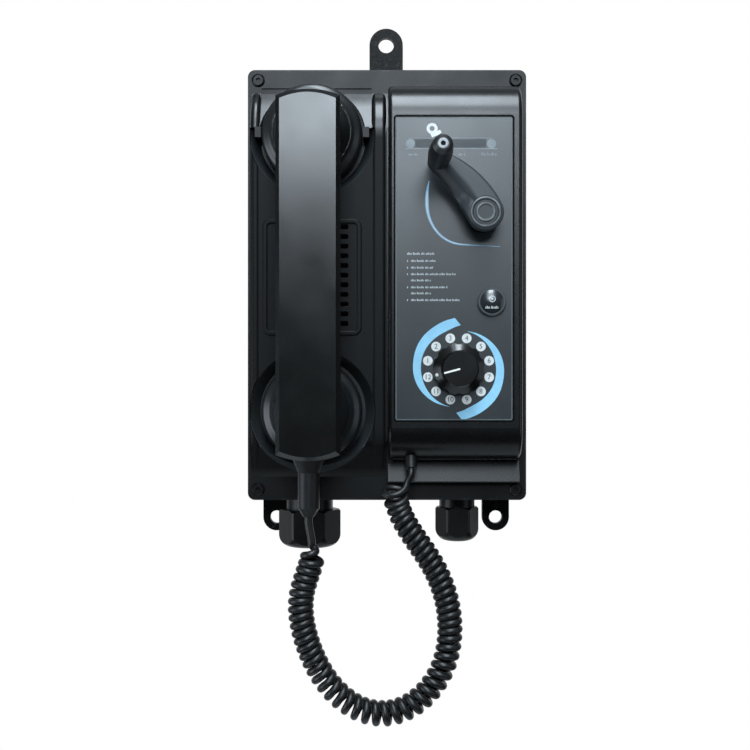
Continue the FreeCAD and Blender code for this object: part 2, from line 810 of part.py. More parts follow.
def pad_room():
    """The space behind the pad, outside the two cups."""
    room = side_prism(PAD_X0 + COVER_WALL, PANEL_X0, pad_outline(PAD_WALL, CASE_D))
    cups = [rod(HANDSET_X, z, CUP_R + COVER_WALL, CASE_D, PAD_D) for z in (EAR_Z, MOUTH_Z)]
    pockets = [
        rod(HANDSET_X, z, CUP_FLOOR_R - COVER_WALL, CASE_D, CUP_FLOOR_D - COVER_WALL)
        for z in (EAR_Z, MOUTH_Z)
    ]
    return [room.cut(cups)] + pockets


def louvres():
    slots = []
    half_l = LOUVRE_CUT_L / 2
    d = (PAD_D + PAD_BACK_D) / 2
    for k in range(LOUVRES):
        z = BEAD_Z + (k - (LOUVRES - 1) / 2) * LOUVRE_PITCH
        slot = slab(HANDSET_X, z, LOUVRE_W, LOUVRE_H, LOUVRE_END_R, d - half_l, d + half_l)
        slot.rotate(at(HANDSET_X, d, z), V(1, 0, 0), -LOUVRE_TILT)
        slots.append(slot)
    return slots


def louvre_bead():
    """The raised, rounded rim about the louvres."""
    top = PAD_D + BEAD_RISE
    rim = slab(HANDSET_X, BEAD_Z, BEAD_W, BEAD_H, BEAD_R, PAD_BACK_D, top)
    w = BEAD_W - 2 * BEAD_T
    h = BEAD_H - 2 * BEAD_T
    rim = rim.cut(slab(HANDSET_X, BEAD_Z, w, h, BEAD_R - BEAD_T, PAD_D, top))
    return rim.makeFillet(BEAD_EDGE_R, edges_where(rim, lambda p: near(p.y, -top)))


def front_cover():
    flange = slab(0, 0, BOX_W, BOX_H, BOX_CORNER_R, CASE_D, RIM_D)
    rails = [rail(*LEFT_RAIL), rail(*RIGHT_RAIL)]
    skin = fused([flange, panel_shell(), panel_lip(), pad_shell(), louvre_bead()] + rails)
    cups = [scoop(), cup_cut(EAR_Z, True), cup_cut(MOUTH_Z, False)]
    skin = skin.cut([panel_room()] + pad_room() + cups)
    collar = tube(
        HANDSET_X, SOUNDER_Z, SOUNDER_R + FREE_FIT + SOUNDER_COLLAR_T, SOUNDER_R + FREE_FIT,
        PAD_BACK_D - SOUNDER_COLLAR_L, PAD_BACK_D,
    )
    posts = [rod(x, z, GEN_POST_R, GEN_FRONT_D, PANEL_BACK_D) for x, z in GEN_POSTS]
    skin = fused([skin, collar] + posts)
    holes = louvres()
    seat_w = PLATE_W + 2 * PLATE_FIT
    seat_h = PLATE_H + 2 * PLATE_FIT
    holes += [slab(PLATE_X, PLATE_Z, seat_w, seat_h, PLATE_R, PLATE_D - PLATE_T, PANEL_D)]
    for x, z in CORNER_SCREWS:
        holes += [rod(x, z, CORNER_SCREW_R + FREE_FIT, CASE_D, RIM_D)]
        holes += [rod(x, z, SCREW_HEAD_R + SLIDE_GAP, RIM_D - SCREW_SEAT_T, RIM_D)]
    for x, z in GEN_POSTS:
        holes += [rod(x, z, GEN_SCREW_R, GEN_FRONT_D, GEN_FRONT_D + GEN_SCREW_GRIP + SCREW_END_GAP)]
    holes += [rod(x, z, r + FREE_FIT, PANEL_BACK_D, PANEL_D) for x, z, r in PANEL_HOLES]
    holes += [grommet_neck(GROMMET_NECK_R + FREE_FIT)]
    return skin.cut(holes)


def faceplate():
    plate = slab(PLATE_X, PLATE_Z, PLATE_W, PLATE_H, PLATE_R, PLATE_D - PLATE_T, PLATE_D)
    return plate.cut([rod(x, z, r + FREE_FIT, PLATE_D - PLATE_T, PLATE_D) for x, z, r in PANEL_HOLES])


def cradle_catches():
    """Two rubber stops in the ear cup that hold the ear cap from the sides."""
    inner = HEAD_R + SLIDE_GAP
    top = RIM_D + CATCH_RISE
    z1 = EAR_Z + CUP_LEDGE_UP
    bowl = cup_cut(EAR_Z, True)
    catches = []
    for side in (-1, 1):
        x0, x1 = sorted((HANDSET_X + side * inner, HANDSET_X + side * (inner + CATCH_T)))
        stop = block(x0, x1, CUP_FLOOR_D, top, z1 - CATCH_H, z1)
        above = block(x0, x1, PAD_D, top, z1 - CATCH_H, z1)
        catches.append(stop.common(bowl.fuse(above)).removeSplitter())
    return Part.makeCompound(catches)


# Sounder, board, terminals and hook switch


def sounder_housing():
    back = PAD_BACK_D - SOUNDER_L
    r = SOUNDER_R
    w = SOUNDER_WALL
    outline = [
        (0, back), (r, back), (r, PAD_BACK_D), (r - w, PAD_BACK_D), (r - w, SOUNDER_FILM_D),
        (r - 2 * w, SOUNDER_FILM_D), (r - 2 * w, back + w), (0, back + w),
    ]
    return turned(HANDSET_X, SOUNDER_Z, outline)


def sounder_diaphragm():
    r = SOUNDER_R - SOUNDER_WALL
    return rod(HANDSET_X, SOUNDER_Z, r, SOUNDER_FILM_D, SOUNDER_FILM_D + SOUNDER_FILM_T)


def sounder_coil():
    seat = PAD_BACK_D - SOUNDER_L + SOUNDER_WALL
    r = SOUNDER_COIL_R
    yoke_r = r + SOUNDER_YOKE_W
    step = seat + SOUNDER_YOKE_T
    top = SOUNDER_FILM_D - SOUNDER_COIL_GAP
    outline = [(0, seat), (yoke_r, seat), (yoke_r, step), (r, step), (r, top), (0, top)]
    return turned(HANDSET_X, SOUNDER_Z, outline)


def circuit_board():
    """The line board with its transformer, capacitor and connector."""
    back = CASE_FLOOR + BOARD_POST_L
    face = back + BOARD_T
    left = BOARD_X - BOARD_W / 2
    foot = BOARD_Z - BOARD_H / 2
    parts = [slab(BOARD_X, BOARD_Z, BOARD_W, BOARD_H, BOARD_R, back, face)]
    for x0, x1, z0, z1, height in BOARD_PARTS:
        parts.append(block(left + x0, left + x1, face, face + height, foot + z0, foot + z1))
    x, z, r, height = CAPACITOR
    parts.append(rod(left + x, foot + z, r, face, face + height))
    return fused(parts)


def block_screw_places():
    pitch = BLOCK_L / BLOCK_WAYS
    return [
        (BLOCK_X - BLOCK_L / 2 + pitch * (k + 0.5), BLOCK_Z + side * BLOCK_W / 4)
        for k in range(BLOCK_WAYS) for side in (-1, 1)
    ]


def terminal_block():
    d0 = CASE_FLOOR
    d1 = d0 + BLOCK_T
    left = BLOCK_X - BLOCK_L / 2
    z0 = BLOCK_Z - BLOCK_W / 2
    z1 = BLOCK_Z + BLOCK_W / 2
    body = block(left, left + BLOCK_L, d0, d1, z0, z1)
    body = body.cut([rod(x, z, BLOCK_SCREW_R, d0 + BLOCK_SCREW_UP, d1) for x, z in block_screw_places()])
    fins = []
    for k in range(1, BLOCK_WAYS):
        x = left + BLOCK_L * k / BLOCK_WAYS - BLOCK_FIN_W / 2
        fins.append(block(x, x + BLOCK_FIN_W, d1, d1 + BLOCK_FIN_H, z0, z1))
    return fused([body] + fins)


def terminal_screws():
    d0 = CASE_FLOOR + BLOCK_SCREW_UP
    d1 = d0 + BLOCK_SCREW_T
    return Part.makeCompound([rod(x, z, BLOCK_SCREW_R, d0, d1) for x, z in block_screw_places()])


def hook_switch():
    """A magnetic reed switch behind the ear cup."""
    front = CUP_FLOOR_D - COVER_WALL
    x0 = HANDSET_X - HOOK_W / 2
    z0 = EAR_Z - MAGNET_OUT - HOOK_H / 2
    case = block(x0, x0 + HOOK_W, front - HOOK_T, front, z0, z0 + HOOK_H)
    return case.makeFillet(HOOK_EDGE_R, edges_where(case, lambda p: near(p.y, HOOK_T - front)))


# Hand generator


def tooth_flank(r, base_r, tip_r, half_angle):
    """Three (radius, angle) points up one flank of an involute tooth."""
    def spread(radius):
        if radius <= base_r:
            return 0.0
        pressure = math.acos(base_r / radius)
        return math.tan(pressure) - pressure
    radii = (max(base_r, r - GEAR_MODULE), r, tip_r)
    return [(radius, half_angle + spread(r) - spread(radius)) for radius in radii]


def toothed_disc(x, z, teeth, turn, d0, d1):
    """A spur wheel with one tooth centred at the angle turn, in degrees."""
    r = GEAR_MODULE * teeth / 2
    base_r = r * math.cos(math.radians(PRESSURE_ANGLE))
    root_r = r - TOOTH_ROOT * GEAR_MODULE
    half = math.pi * TOOTH_SHARE / teeth
    flank = tooth_flank(r, base_r, r + GEAR_MODULE, half)
    points = []
    for k in range(teeth):
        centre = math.radians(turn) + 2 * math.pi * k / teeth
        profile = [(root_r, -flank[0][1])] + [(radius, -angle) for radius, angle in flank]
        profile += [(radius, angle) for radius, angle in reversed(flank)] + [(root_r, flank[0][1])]
        for radius, angle in profile:
            a = centre + angle
            points.append(at(x + radius * math.cos(a), d0, z + radius * math.sin(a)))
    return Part.Face(Part.makePolygon(points + points[:1])).extrude(V(0, d0 - d1, 0))


def drive_gear():
    front = GEAR_D + GEAR_T
    wheel = toothed_disc(CRANK_X, CRANK_Z, GEAR_TEETH, PINION_TURN, GEAR_D, front)
    web_r = GEAR_R - GEAR_RIM_W
    hub_r = SHAFT_R + GEAR_HUB_W
    dish = tube(CRANK_X, CRANK_Z, web_r, hub_r, front - GEAR_DISH_T, front)
    ring = ring_places(CRANK_X, CRANK_Z, (web_r + hub_r) / 2, GEAR_WINDOWS, 0)
    windows = [rod(x, z, GEAR_WINDOW_R, GEAR_D, front) for x, z in ring]
    return wheel.cut([dish, rod(CRANK_X, CRANK_Z, SHAFT_R, GEAR_D, front)] + windows)


def pinion():
    gap_turn = PINION_TURN + 180 + 180 / PINION_TEETH
    wheel = toothed_disc(PINION_X, PINION_Z, PINION_TEETH, gap_turn, GEAR_D, GEAR_D + GEAR_T)
    return wheel.cut(rod(PINION_X, PINION_Z, ROTOR_SHAFT_R, GEAR_D, GEAR_D + GEAR_T))


def generator_plate(d0):
    d1 = d0 + GEN_PLATE_T
    plate = slab(GEN_X, GEN_Z, GEN_PLATE_W, GEN_PLATE_H, GEN_PLATE_R, d0, d1)
    holes = [rod(x, z, GEN_SCREW_R + FREE_FIT, d0, d1) for x, z in GEN_POSTS]
    return plate.cut(holes + [rod(PINION_X, PINION_Z, BUSH_R, d0, d1)])


def generator_spacers():
    d0 = GEN_BACK_D + GEN_PLATE_T
    return Part.makeCompound(
        [tube(x, z, GEN_POST_R, GEN_SCREW_R + FREE_FIT, d0, d0 + GEN_LENGTH) for x, z in GEN_POSTS]
    )


def generator_screws():
    screws = []
    for x, z in GEN_POSTS:
        shank = rod(x, z, GEN_SCREW_R, GEN_BACK_D, GEN_FRONT_D + GEN_SCREW_GRIP)
        head = rod(x, z, GEN_POST_R, GEN_BACK_D - GEN_SCREW_HEAD_T, GEN_BACK_D)
        screws.append(shank.fuse(head).removeSplitter())
    return Part.makeCompound(screws)


def pole_bars(width, r0, r1, d0, d1):
    """Bars that point at the rotor, one to each pole."""
    bar = block(PINION_X + r0, PINION_X + r1, d0, d1, PINION_Z - width / 2, PINION_Z + width / 2)
    return turned_copies(bar, PINION_X, PINION_Z, POLES, POLE_ANGLE)


def stator_core():
    d0 = GEN_BACK_D + GEN_PLATE_T
    d1 = d0 + GEN_LENGTH
    bore_r = ROTOR_R + AIR_GAP
    ring_r = STATOR_R - STATOR_RING_T / 2
    poles = pole_bars(POLE_W, bore_r - AIR_GAP, ring_r, d0 + POLE_END_GAP, d1 - POLE_END_GAP)
    ring = tube(PINION_X, PINION_Z, STATOR_R, STATOR_R - STATOR_RING_T, d0, d1)
    return fused([ring] + poles).cut(rod(PINION_X, PINION_Z, bore_r, d0, d1))


def stator_coils():
    d0 = GEN_BACK_D + GEN_PLATE_T + POLE_END_GAP
    d1 = d0 + GEN_LENGTH - 2 * POLE_END_GAP
    inner = ROTOR_R + AIR_GAP + COIL_GAP
    outer = inner + COIL_T
    rings = pole_bars(COIL_W, inner, outer, d0 - COIL_OVER, d1 + COIL_OVER)
    poles = pole_bars(POLE_W, inner, outer, d0, d1)
    return Part.makeCompound([ring.cut(pole) for ring, pole in zip(rings, poles)])


def rotor_bushes():
    length = GEN_PLATE_T + BUSH_OUT
    bore_r = ROTOR_SHAFT_R + RUN_FIT
    bushes = [
        tube(PINION_X, PINION_Z, BUSH_R, bore_r, d0, d0 + length)
        for d0 in (GEN_BACK_D, GEN_FRONT_D - length)
    ]
    return Part.makeCompound(bushes)


def rotor_shaft():
    front = GEAR_D + GEAR_T + ROTOR_SHAFT_FRONT
    return rod(PINION_X, PINION_Z, ROTOR_SHAFT_R, GEN_BACK_D - ROTOR_SHAFT_OUT, front)


def rotor_magnet():
    d0 = GEN_BACK_D + GEN_PLATE_T + ROTOR_END_GAP
    return tube(PINION_X, PINION_Z, ROTOR_R, ROTOR_SHAFT_R, d0, d0 + GEN_LENGTH - 2 * ROTOR_END_GAP)


def crank_bearing():
    back = BEARING_FRONT_D - BEARING_L
    seal_d = BEARING_FRONT_D - SEAL_T
    outline = [
        (SHAFT_R + RUN_FIT, back), (BEARING_R, back), (BEARING_R, PLATE_D), (BEARING_FLANGE_R, PLATE_D),
        (BEARING_FLANGE_R, BEARING_FRONT_D), (SEAL_R, BEARING_FRONT_D), (SEAL_R, seal_d),
        (SHAFT_R + RUN_FIT, seal_d),
    ]
    return turned(CRANK_X, CRANK_Z, outline)


def crank_seal():
    back = BEARING_FRONT_D - SEAL_T
    return tube(CRANK_X, CRANK_Z, SEAL_R, SHAFT_R + RUN_FIT, back, BEARING_FRONT_D)


# Crank


def crank_shaft():
    shaft = rod(CRANK_X, CRANK_Z, SHAFT_R, GEAR_D, HUB_SEAT_D)
    hole_foot = HUB_SEAT_D - HUB_SCREW_L - SCREW_END_GAP
    return shaft.cut(rod(CRANK_X, CRANK_Z, HUB_SCREW_R, hole_foot, HUB_SEAT_D))


def arm_edge(bend_r, hub_r, tip_r):
    """Three (along, across) places of an arc that touches the hub's round and the tip's."""
    to_hub = bend_r - hub_r
    to_tip = bend_r - tip_r
    u = (to_hub**2 - to_tip**2 + CRANK_ARM_L**2) / (2 * CRANK_ARM_L)
    v = -math.sqrt(to_hub**2 - u**2)
    start = (u - u * bend_r / to_hub, v - v * bend_r / to_hub)
    end = (u + (CRANK_ARM_L - u) * bend_r / to_tip, v - v * bend_r / to_tip)
    return [start, (u, v + bend_r), end]


def arm_outline():
    """The arm seen from the front: hub, bulged upper edge, tip, hollowed lower edge."""
    turn = math.radians(CRANK_ANGLE)
    along = V(math.cos(turn), 0, math.sin(turn))
    across = V(along.z, 0, -along.x)
    upper = arm_edge(ARM_BULGE_R, HUB_R, ARM_TIP_R)
    lower = arm_edge(ARM_HOLLOW_R, -HUB_R, -ARM_TIP_R)
    arcs = [
        (lower[0], (-HUB_R, 0), upper[0]),
        tuple(upper),
        (upper[2], (CRANK_ARM_L + ARM_TIP_R, 0), lower[2]),
        (lower[2], lower[1], lower[0]),
    ]
    hub = at(CRANK_X, ARM_BACK_D, CRANK_Z)
    edges = []
    for places in arcs:
        edges.append(Part.Arc(*[hub + along * u + across * v for u, v in places]).toShape())
    return joined(edges)


def crank_arm():
    arm = arm_outline().extrude(V(0, -ARM_T, 0))
    for d in (ARM_FRONT_D, ARM_BACK_D):
        arm = arm.makeFillet(ARM_EDGE_R, edges_where(arm, lambda p: near(p.y, -d)))
    collar_d = ARM_BACK_D + HUB_COLLAR_ROOT
    collar = rod(CRANK_X, CRANK_Z, HUB_COLLAR_R, BEARING_FRONT_D + ARM_GAP, collar_d)
    holes = [
        rod(CRANK_X, CRANK_Z, SHAFT_R, BEARING_FRONT_D, HUB_SEAT_D),
        rod(CRANK_X, CRANK_Z, HUB_SCREW_HEAD_R + FREE_FIT, HUB_SEAT_D, HUB_CAP_BACK_D),
        rod(CRANK_X, CRANK_Z, HUB_CAP_R + FREE_FIT, HUB_CAP_BACK_D, ARM_FRONT_D),
        rod(GRIP_X, GRIP_Z, GRIP_PIN_R, ARM_BACK_D, ARM_FRONT_D),
    ]
    return fused([arm, collar]).cut(holes)


def crank_screw():
    head = rod(CRANK_X, CRANK_Z, HUB_SCREW_HEAD_R, HUB_SEAT_D, HUB_SEAT_D + HUB_SCREW_HEAD_T)
    shank = rod(CRANK_X, CRANK_Z, HUB_SCREW_R, HUB_SEAT_D - HUB_SCREW_L, HUB_SEAT_D)
    return head.fuse(shank).removeSplitter()


def crank_cap():
    """A dished cap: a bevelled rim, and a raised ring in the dish."""
    front = ARM_FRONT_D + HUB_CAP_OUT
    dish = front - HUB_CAP_DISH_T
    crest = dish + HUB_CAP_RING_T
    rim_r = HUB_CAP_R - HUB_CAP_RIM_W
    outer = HUB_CAP_RING_R + HUB_CAP_RING_W / 2
    inner = HUB_CAP_RING_R - HUB_CAP_RING_W / 2
    outline = [
        (0, HUB_CAP_BACK_D), (HUB_CAP_R, HUB_CAP_BACK_D), (HUB_CAP_R, front - HUB_CAP_EDGE),
        (HUB_CAP_R - HUB_CAP_EDGE, front), (rim_r, front), (rim_r - HUB_CAP_DISH_T, dish),
        (outer + HUB_CAP_RING_T, dish), (outer, crest), (inner, crest), (inner - HUB_CAP_RING_T, dish),
        (0, dish),
    ]
    return turned(CRANK_X, CRANK_Z, outline)


def grip_pin():
    front = GRIP_FRONT_D + GRIP_PIN_OUT
    pin = rod(GRIP_X, GRIP_Z, GRIP_PIN_R, ARM_BACK_D, front)
    return pin.cut(rod(GRIP_X, GRIP_Z, GRIP_SCREW_R, front - GRIP_SCREW_L - SCREW_END_GAP, front))


def crank_grip():
    """The turning grip, bellied in the middle, with rounded ends."""
    bore = GRIP_PIN_R + FREE_FIT
    b, f = GRIP_BACK_D, GRIP_FRONT_D
    points = [at(GRIP_X + r, d, GRIP_Z) for r, d in (
        (bore, b), (GRIP_R - GRIP_BACK_EDGE, b), (GRIP_R, b + GRIP_BACK_EDGE),
        (GRIP_BELLY_R, b + GRIP_L * GRIP_BELLY_UP), (GRIP_TIP_R, f - GRIP_FRONT_EDGE),
        (GRIP_TIP_R - GRIP_FRONT_EDGE, f), (bore, f),
    )]
    side = Part.Arc(points[2], points[3], points[4]).toShape()
    rest = Part.makePolygon(points[4:] + points[:3])
    return Part.Face(Part.Wire([side] + rest.Edges)).revolve(at(GRIP_X, 0, GRIP_Z), FORWARD, 360)


def grip_screw():
    seat = GRIP_FRONT_D + GRIP_PIN_OUT
    head = rod(GRIP_X, GRIP_Z, GRIP_WASHER_R, seat, seat + GRIP_WASHER_T)
    shank = rod(GRIP_X, GRIP_Z, GRIP_SCREW_R, seat - GRIP_SCREW_L, seat)
    return head.fuse(shank).removeSplitter()


# Selector and call button


def selector_switch():
    """The 12-way rotary switch, hung from its threaded bush, with its solder tags."""
    back = PANEL_BACK_D - SWITCH_L
    body = rod(SELECTOR_X, SELECTOR_Z, SWITCH_R, back, PANEL_BACK_D)
    bush = rod(SELECTOR_X, SELECTOR_Z, SWITCH_BUSH_R, PANEL_BACK_D, PANEL_BACK_D + SWITCH_BUSH_L)
    x0 = SELECTOR_X + TAG_RING_R
    tag = block(x0, x0 + TAG_T, back - TAG_L, back, SELECTOR_Z - TAG_W / 2, SELECTOR_Z + TAG_W / 2)
    tags = turned_copies(tag, SELECTOR_X, SELECTOR_Z, SWITCH_WAYS, 0)
    bore_r = SELECTOR_SHAFT_R + RUN_FIT
    front = PANEL_BACK_D + SWITCH_BUSH_L
    bore = rod(SELECTOR_X, SELECTOR_Z, bore_r, back + SWITCH_BORE_UP, front)
    return fused([body, bush] + tags).cut(bore)


def selector_nut():
    d1 = PLATE_D + SELECTOR_NUT_T
    nut = hex_bar_forward(SELECTOR_X, SELECTOR_Z, SELECTOR_NUT_AF, PLATE_D, d1)
    return nut.cut(rod(SELECTOR_X, SELECTOR_Z, SWITCH_BUSH_R, PLATE_D, d1))


def selector_shaft():
    foot = PANEL_BACK_D - SWITCH_L + SWITCH_SHAFT_UP
    return rod(SELECTOR_X, SELECTOR_Z, SELECTOR_SHAFT_R, foot, KNOB_FRONT_D - KNOB_CROWN_T)


def knob_form():
    """A round knob on a sloping skirt, hollow over its nut."""
    b, f = KNOB_BACK_D, KNOB_FRONT_D
    return turned(SELECTOR_X, SELECTOR_Z, [
        (0, b + KNOB_HOLLOW_T), (KNOB_HOLLOW_R, b + KNOB_HOLLOW_T), (KNOB_HOLLOW_R, b), (KNOB_R, b),
        (KNOB_R, b + KNOB_SKIRT), (KNOB_TOP_R, b + KNOB_SKIRT + KNOB_SKIRT_SLOPE),
        (KNOB_TOP_R, f - KNOB_EDGE), (KNOB_TOP_R - KNOB_EDGE, f), (0, f),
    ])


def knob_marks():
    """The white line in the knob's face and the dot on its skirt, and the hollows for both."""
    x0 = SELECTOR_X + POINTER_START
    z0 = SELECTOR_Z - POINTER_W / 2
    bar = block(x0, x0 + POINTER_L, KNOB_FRONT_D - POINTER_T, KNOB_FRONT_D, z0, z0 + POINTER_W)
    dot_x = SELECTOR_X + POINTER_DOT_OUT
    dot = rod(dot_x, SELECTOR_Z, POINTER_DOT_R, KNOB_BACK_D + POINTER_T, KNOB_FRONT_D)
    marks = Part.makeCompound([bar, dot.common(knob_form())])
    marks.rotate(at(SELECTOR_X, 0, SELECTOR_Z), FORWARD, SELECTOR_REST)
    return marks


def grub_bar(from_r, to_r):
    """The grub screw, or its hole, that lies crosswise in the knob behind the pointer."""
    turn = math.radians(SELECTOR_REST)
    out = V(math.cos(turn), 0, math.sin(turn))
    base = at(SELECTOR_X, KNOB_BACK_D + GRUB_UP, SELECTOR_Z) + out * from_r
    return Part.makeCylinder(GRUB_R, to_r - from_r, base, out)


def selector_knob():
    b, f = KNOB_BACK_D, KNOB_FRONT_D
    start = SELECTOR_REST + 180 / KNOB_FLUTES
    ring = ring_places(SELECTOR_X, SELECTOR_Z, KNOB_R + FLUTE_OUT, KNOB_FLUTES, start)
    flutes = [rod(x, z, FLUTE_R, b, f) for x, z in ring]
    bore = rod(SELECTOR_X, SELECTOR_Z, SELECTOR_SHAFT_R, b, f - KNOB_CROWN_T)
    return knob_form().cut(flutes + [bore, knob_marks(), grub_bar(0, KNOB_TOP_R)])


def knob_screw():
    foot = SELECTOR_SHAFT_R + SLIDE_GAP
    return grub_bar(foot, foot + GRUB_L)


def button_bezel():
    bore = BUTTON_R + FREE_FIT
    front = PLATE_D + BEZEL_T
    outline = [
        (bore, BEZEL_BACK_D), (BEZEL_BARREL_R, BEZEL_BACK_D), (BEZEL_BARREL_R, PLATE_D), (BEZEL_R, PLATE_D),
        (BEZEL_R, front - BEZEL_EDGE), (BEZEL_R - BEZEL_EDGE, front), (bore, front),
    ]
    return turned(BUTTON_X, BUTTON_Z, outline)


def call_button():
    """A plunger with a domed face."""
    back = BUTTON_FRONT_D - BUTTON_BODY_L
    stem = back - BUTTON_STEM_L
    rim_d = BUTTON_FRONT_D - BUTTON_CROWN
    crown_r = (BUTTON_R**2 + BUTTON_CROWN**2) / (2 * BUTTON_CROWN)
    half_d = BUTTON_FRONT_D - crown_r + math.sqrt(crown_r**2 - BUTTON_R**2 / 4)
    points = [at(BUTTON_X + r, d, BUTTON_Z) for r, d in (
        (BUTTON_R, rim_d), (BUTTON_R / 2, half_d), (0, BUTTON_FRONT_D), (0, stem),
        (BUTTON_STEM_R, stem), (BUTTON_STEM_R, back), (BUTTON_R, back), (BUTTON_R, rim_d),
    )]
    crown = Part.Arc(*points[:3]).toShape()
    rest = Part.makePolygon(points[2:])
    return Part.Face(Part.Wire([crown] + rest.Edges)).revolve(at(BUTTON_X, 0, BUTTON_Z), FORWARD, 360)


def button_switch():
    back = BEZEL_BACK_D - BUTTON_SWITCH_L
    body = rod(BUTTON_X, BUTTON_Z, BEZEL_BARREL_R, back, BEZEL_BACK_D)
    well_r = BUTTON_STEM_R + SLIDE_GAP
    well = rod(BUTTON_X, BUTTON_Z, well_r, BEZEL_BACK_D - BUTTON_WELL_L, BEZEL_BACK_D)
    z0 = BUTTON_Z - BUTTON_TAG_W / 2
    tags = []
    for side in (-1, 1):
        x0 = BUTTON_X + side * BUTTON_TAG_X - BUTTON_TAG_T / 2
        tags.append(block(x0, x0 + BUTTON_TAG_T, back - BUTTON_TAG_L, back, z0, z0 + BUTTON_TAG_W))
    return fused([body] + tags).cut(well)


PANEL_HOLES = (
    (CRANK_X, CRANK_Z, BEARING_R),
    (SELECTOR_X, SELECTOR_Z, SWITCH_BUSH_R),
    (BUTTON_X, BUTTON_Z, BEZEL_BARREL_R),
)


# Cable glands: place, thread radius, nut across flats, neck radius, neck and nut length, cable radius

GLANDS = {
    "left_gland": (GLAND_LEFT_X, 12.5, 34.0, 14.5, 9.5, 23.0, 7.0),
    "right_gland": (GLAND_RIGHT_X, 10.0, 24.0, 11.0, 8.0, 21.0, 5.0),
}


def gland_wall_hole(x, thread_r, nut_af, neck_r, neck_l, nut_l, cable_r):
    return pin_up(x, GLAND_D, thread_r + FREE_FIT, CASE_Z0, CASE_Z0 + CASE_WALL)


def gland_body(x, thread_r, nut_af, neck_r, neck_l, nut_l, cable_r):
    """Thread through the wall, round neck under it, and a spigot that the nut screws on to."""
    neck_z = CASE_Z0 - neck_l
    top_z = CASE_Z0 + CASE_WALL + LOCKNUT_T + SPIGOT_SLACK
    spigot_z = neck_z - nut_l * SPIGOT_SHARE
    spigot_r = thread_r - SPIGOT_SLACK
    bore_r = cable_r + GLAND_WALL
    outline = [
        (bore_r, top_z), (thread_r, top_z), (thread_r, CASE_Z0), (neck_r, CASE_Z0), (neck_r, neck_z),
        (spigot_r, neck_z), (spigot_r, spigot_z), (bore_r, spigot_z),
    ]
    return turned_up(x, GLAND_D, outline)


def gland_nut(x, thread_r, nut_af, neck_r, neck_l, nut_l, cable_r):
    """A hexagon nut with blunt corners and a domed foot."""
    top_z = CASE_Z0 - neck_l
    foot_z = top_z - nut_l
    corner_r = nut_af / math.sqrt(3) - NUT_CORNER_CUT
    foot_r = corner_r - NUT_DOME_R
    half = math.sqrt(0.5)
    body = hex_bar_up(x, GLAND_D, nut_af, foot_z, top_z)
    points = [at(x + r, GLAND_D, z) for r, z in (
        (corner_r, foot_z + NUT_DOME_R),
        (foot_r + NUT_DOME_R * half, foot_z + NUT_DOME_R * (1 - half)),
        (foot_r, foot_z), (0, foot_z), (0, top_z), (corner_r - NUT_TOP_EDGE, top_z),
        (corner_r, top_z - NUT_TOP_EDGE), (corner_r, foot_z + NUT_DOME_R),
    )]
    side = Part.Arc(*points[:3]).toShape()
    rest = Part.makePolygon(points[2:])
    dome = Part.Face(Part.Wire([side] + rest.Edges)).revolve(at(x, GLAND_D, 0), UP, 360)
    mouth = pin_up(x, GLAND_D, cable_r + GLAND_MOUTH_GAP, foot_z, top_z)
    thread = pin_up(x, GLAND_D, thread_r - SPIGOT_SLACK, top_z - nut_l * NUT_THREAD_SHARE, top_z)
    return body.common(dome).cut([mouth, thread])


def gland_seal(x, thread_r, nut_af, neck_r, neck_l, nut_l, cable_r):
    low = CASE_Z0 - neck_l - nut_l * NUT_THREAD_SHARE
    high = CASE_Z0 - neck_l - nut_l * SPIGOT_SHARE
    outer_r = thread_r - SPIGOT_SLACK
    return turned_up(x, GLAND_D, [(cable_r, low), (outer_r, low), (outer_r, high), (cable_r, high)])


def gland_locknut(x, thread_r, nut_af, neck_r, neck_l, nut_l, cable_r):
    z0 = CASE_Z0 + CASE_WALL
    nut = hex_bar_up(x, GLAND_D, nut_af * LOCKNUT_SHARE, z0, z0 + LOCKNUT_T)
    return nut.cut(pin_up(x, GLAND_D, thread_r, z0, z0 + LOCKNUT_T))


# Handset


def head_dome(z):
    """The round head of the handle, flared to its cap, turned about the forward axis at z."""
    side_d = HEAD_D + HEAD_SIDE
    top_d = RIM_D + HEAD_TOP
    waist_r = HEAD_TOP_R + (HEAD_R - HEAD_TOP_R) * HEAD_WAIST_OUT
    waist_d = side_d + (top_d - side_d) * HEAD_WAIST_UP
    points = [at(HANDSET_X + r, d, z) for r, d in (
        (0, HEAD_D), (HEAD_R, HEAD_D), (HEAD_R, side_d), (waist_r, waist_d), (HEAD_TOP_R, top_d),
        (0, top_d),
    )]
    side = Part.Arc(points[2], points[3], points[4]).toShape()
    rest = Part.makePolygon([points[4], points[5], points[0], points[1], points[2]])
    return Part.Face(Part.Wire([side] + rest.Edges)).revolve(at(HANDSET_X, 0, z), FORWARD, 360)


def handle_bar():
    """The straight grip: arched ends, a bevelled front rim and rounded back edges."""
    half = HANDLE_W / 2
    ends = []
    for side, tip, inner in (
        (1, HANDLE_TOP, HANDLE_TOP - HANDLE_ARCH), (-1, HANDLE_FOOT, HANDLE_FOOT + HANDLE_ARCH),
    ):
        places = ((side * half, inner), (0, tip), (-side * half, inner))
        ends.append(Part.Arc(*[at(HANDSET_X + x, HANDLE_BACK_D, z) for x, z in places]).toShape())
    bar = joined(ends).extrude(V(0, HANDLE_BACK_D - HANDLE_FRONT_D, 0))
    bar = bar.makeChamfer(HANDLE_CHAMFER, edges_where(bar, lambda p: near(p.y, -HANDLE_FRONT_D)))
    sides = edges_where(bar, lambda p: near(p.y, -HANDLE_BACK_D) and near(abs(p.x - HANDSET_X), half))
    return bar.makeFillet(HANDLE_BACK_R, sides)


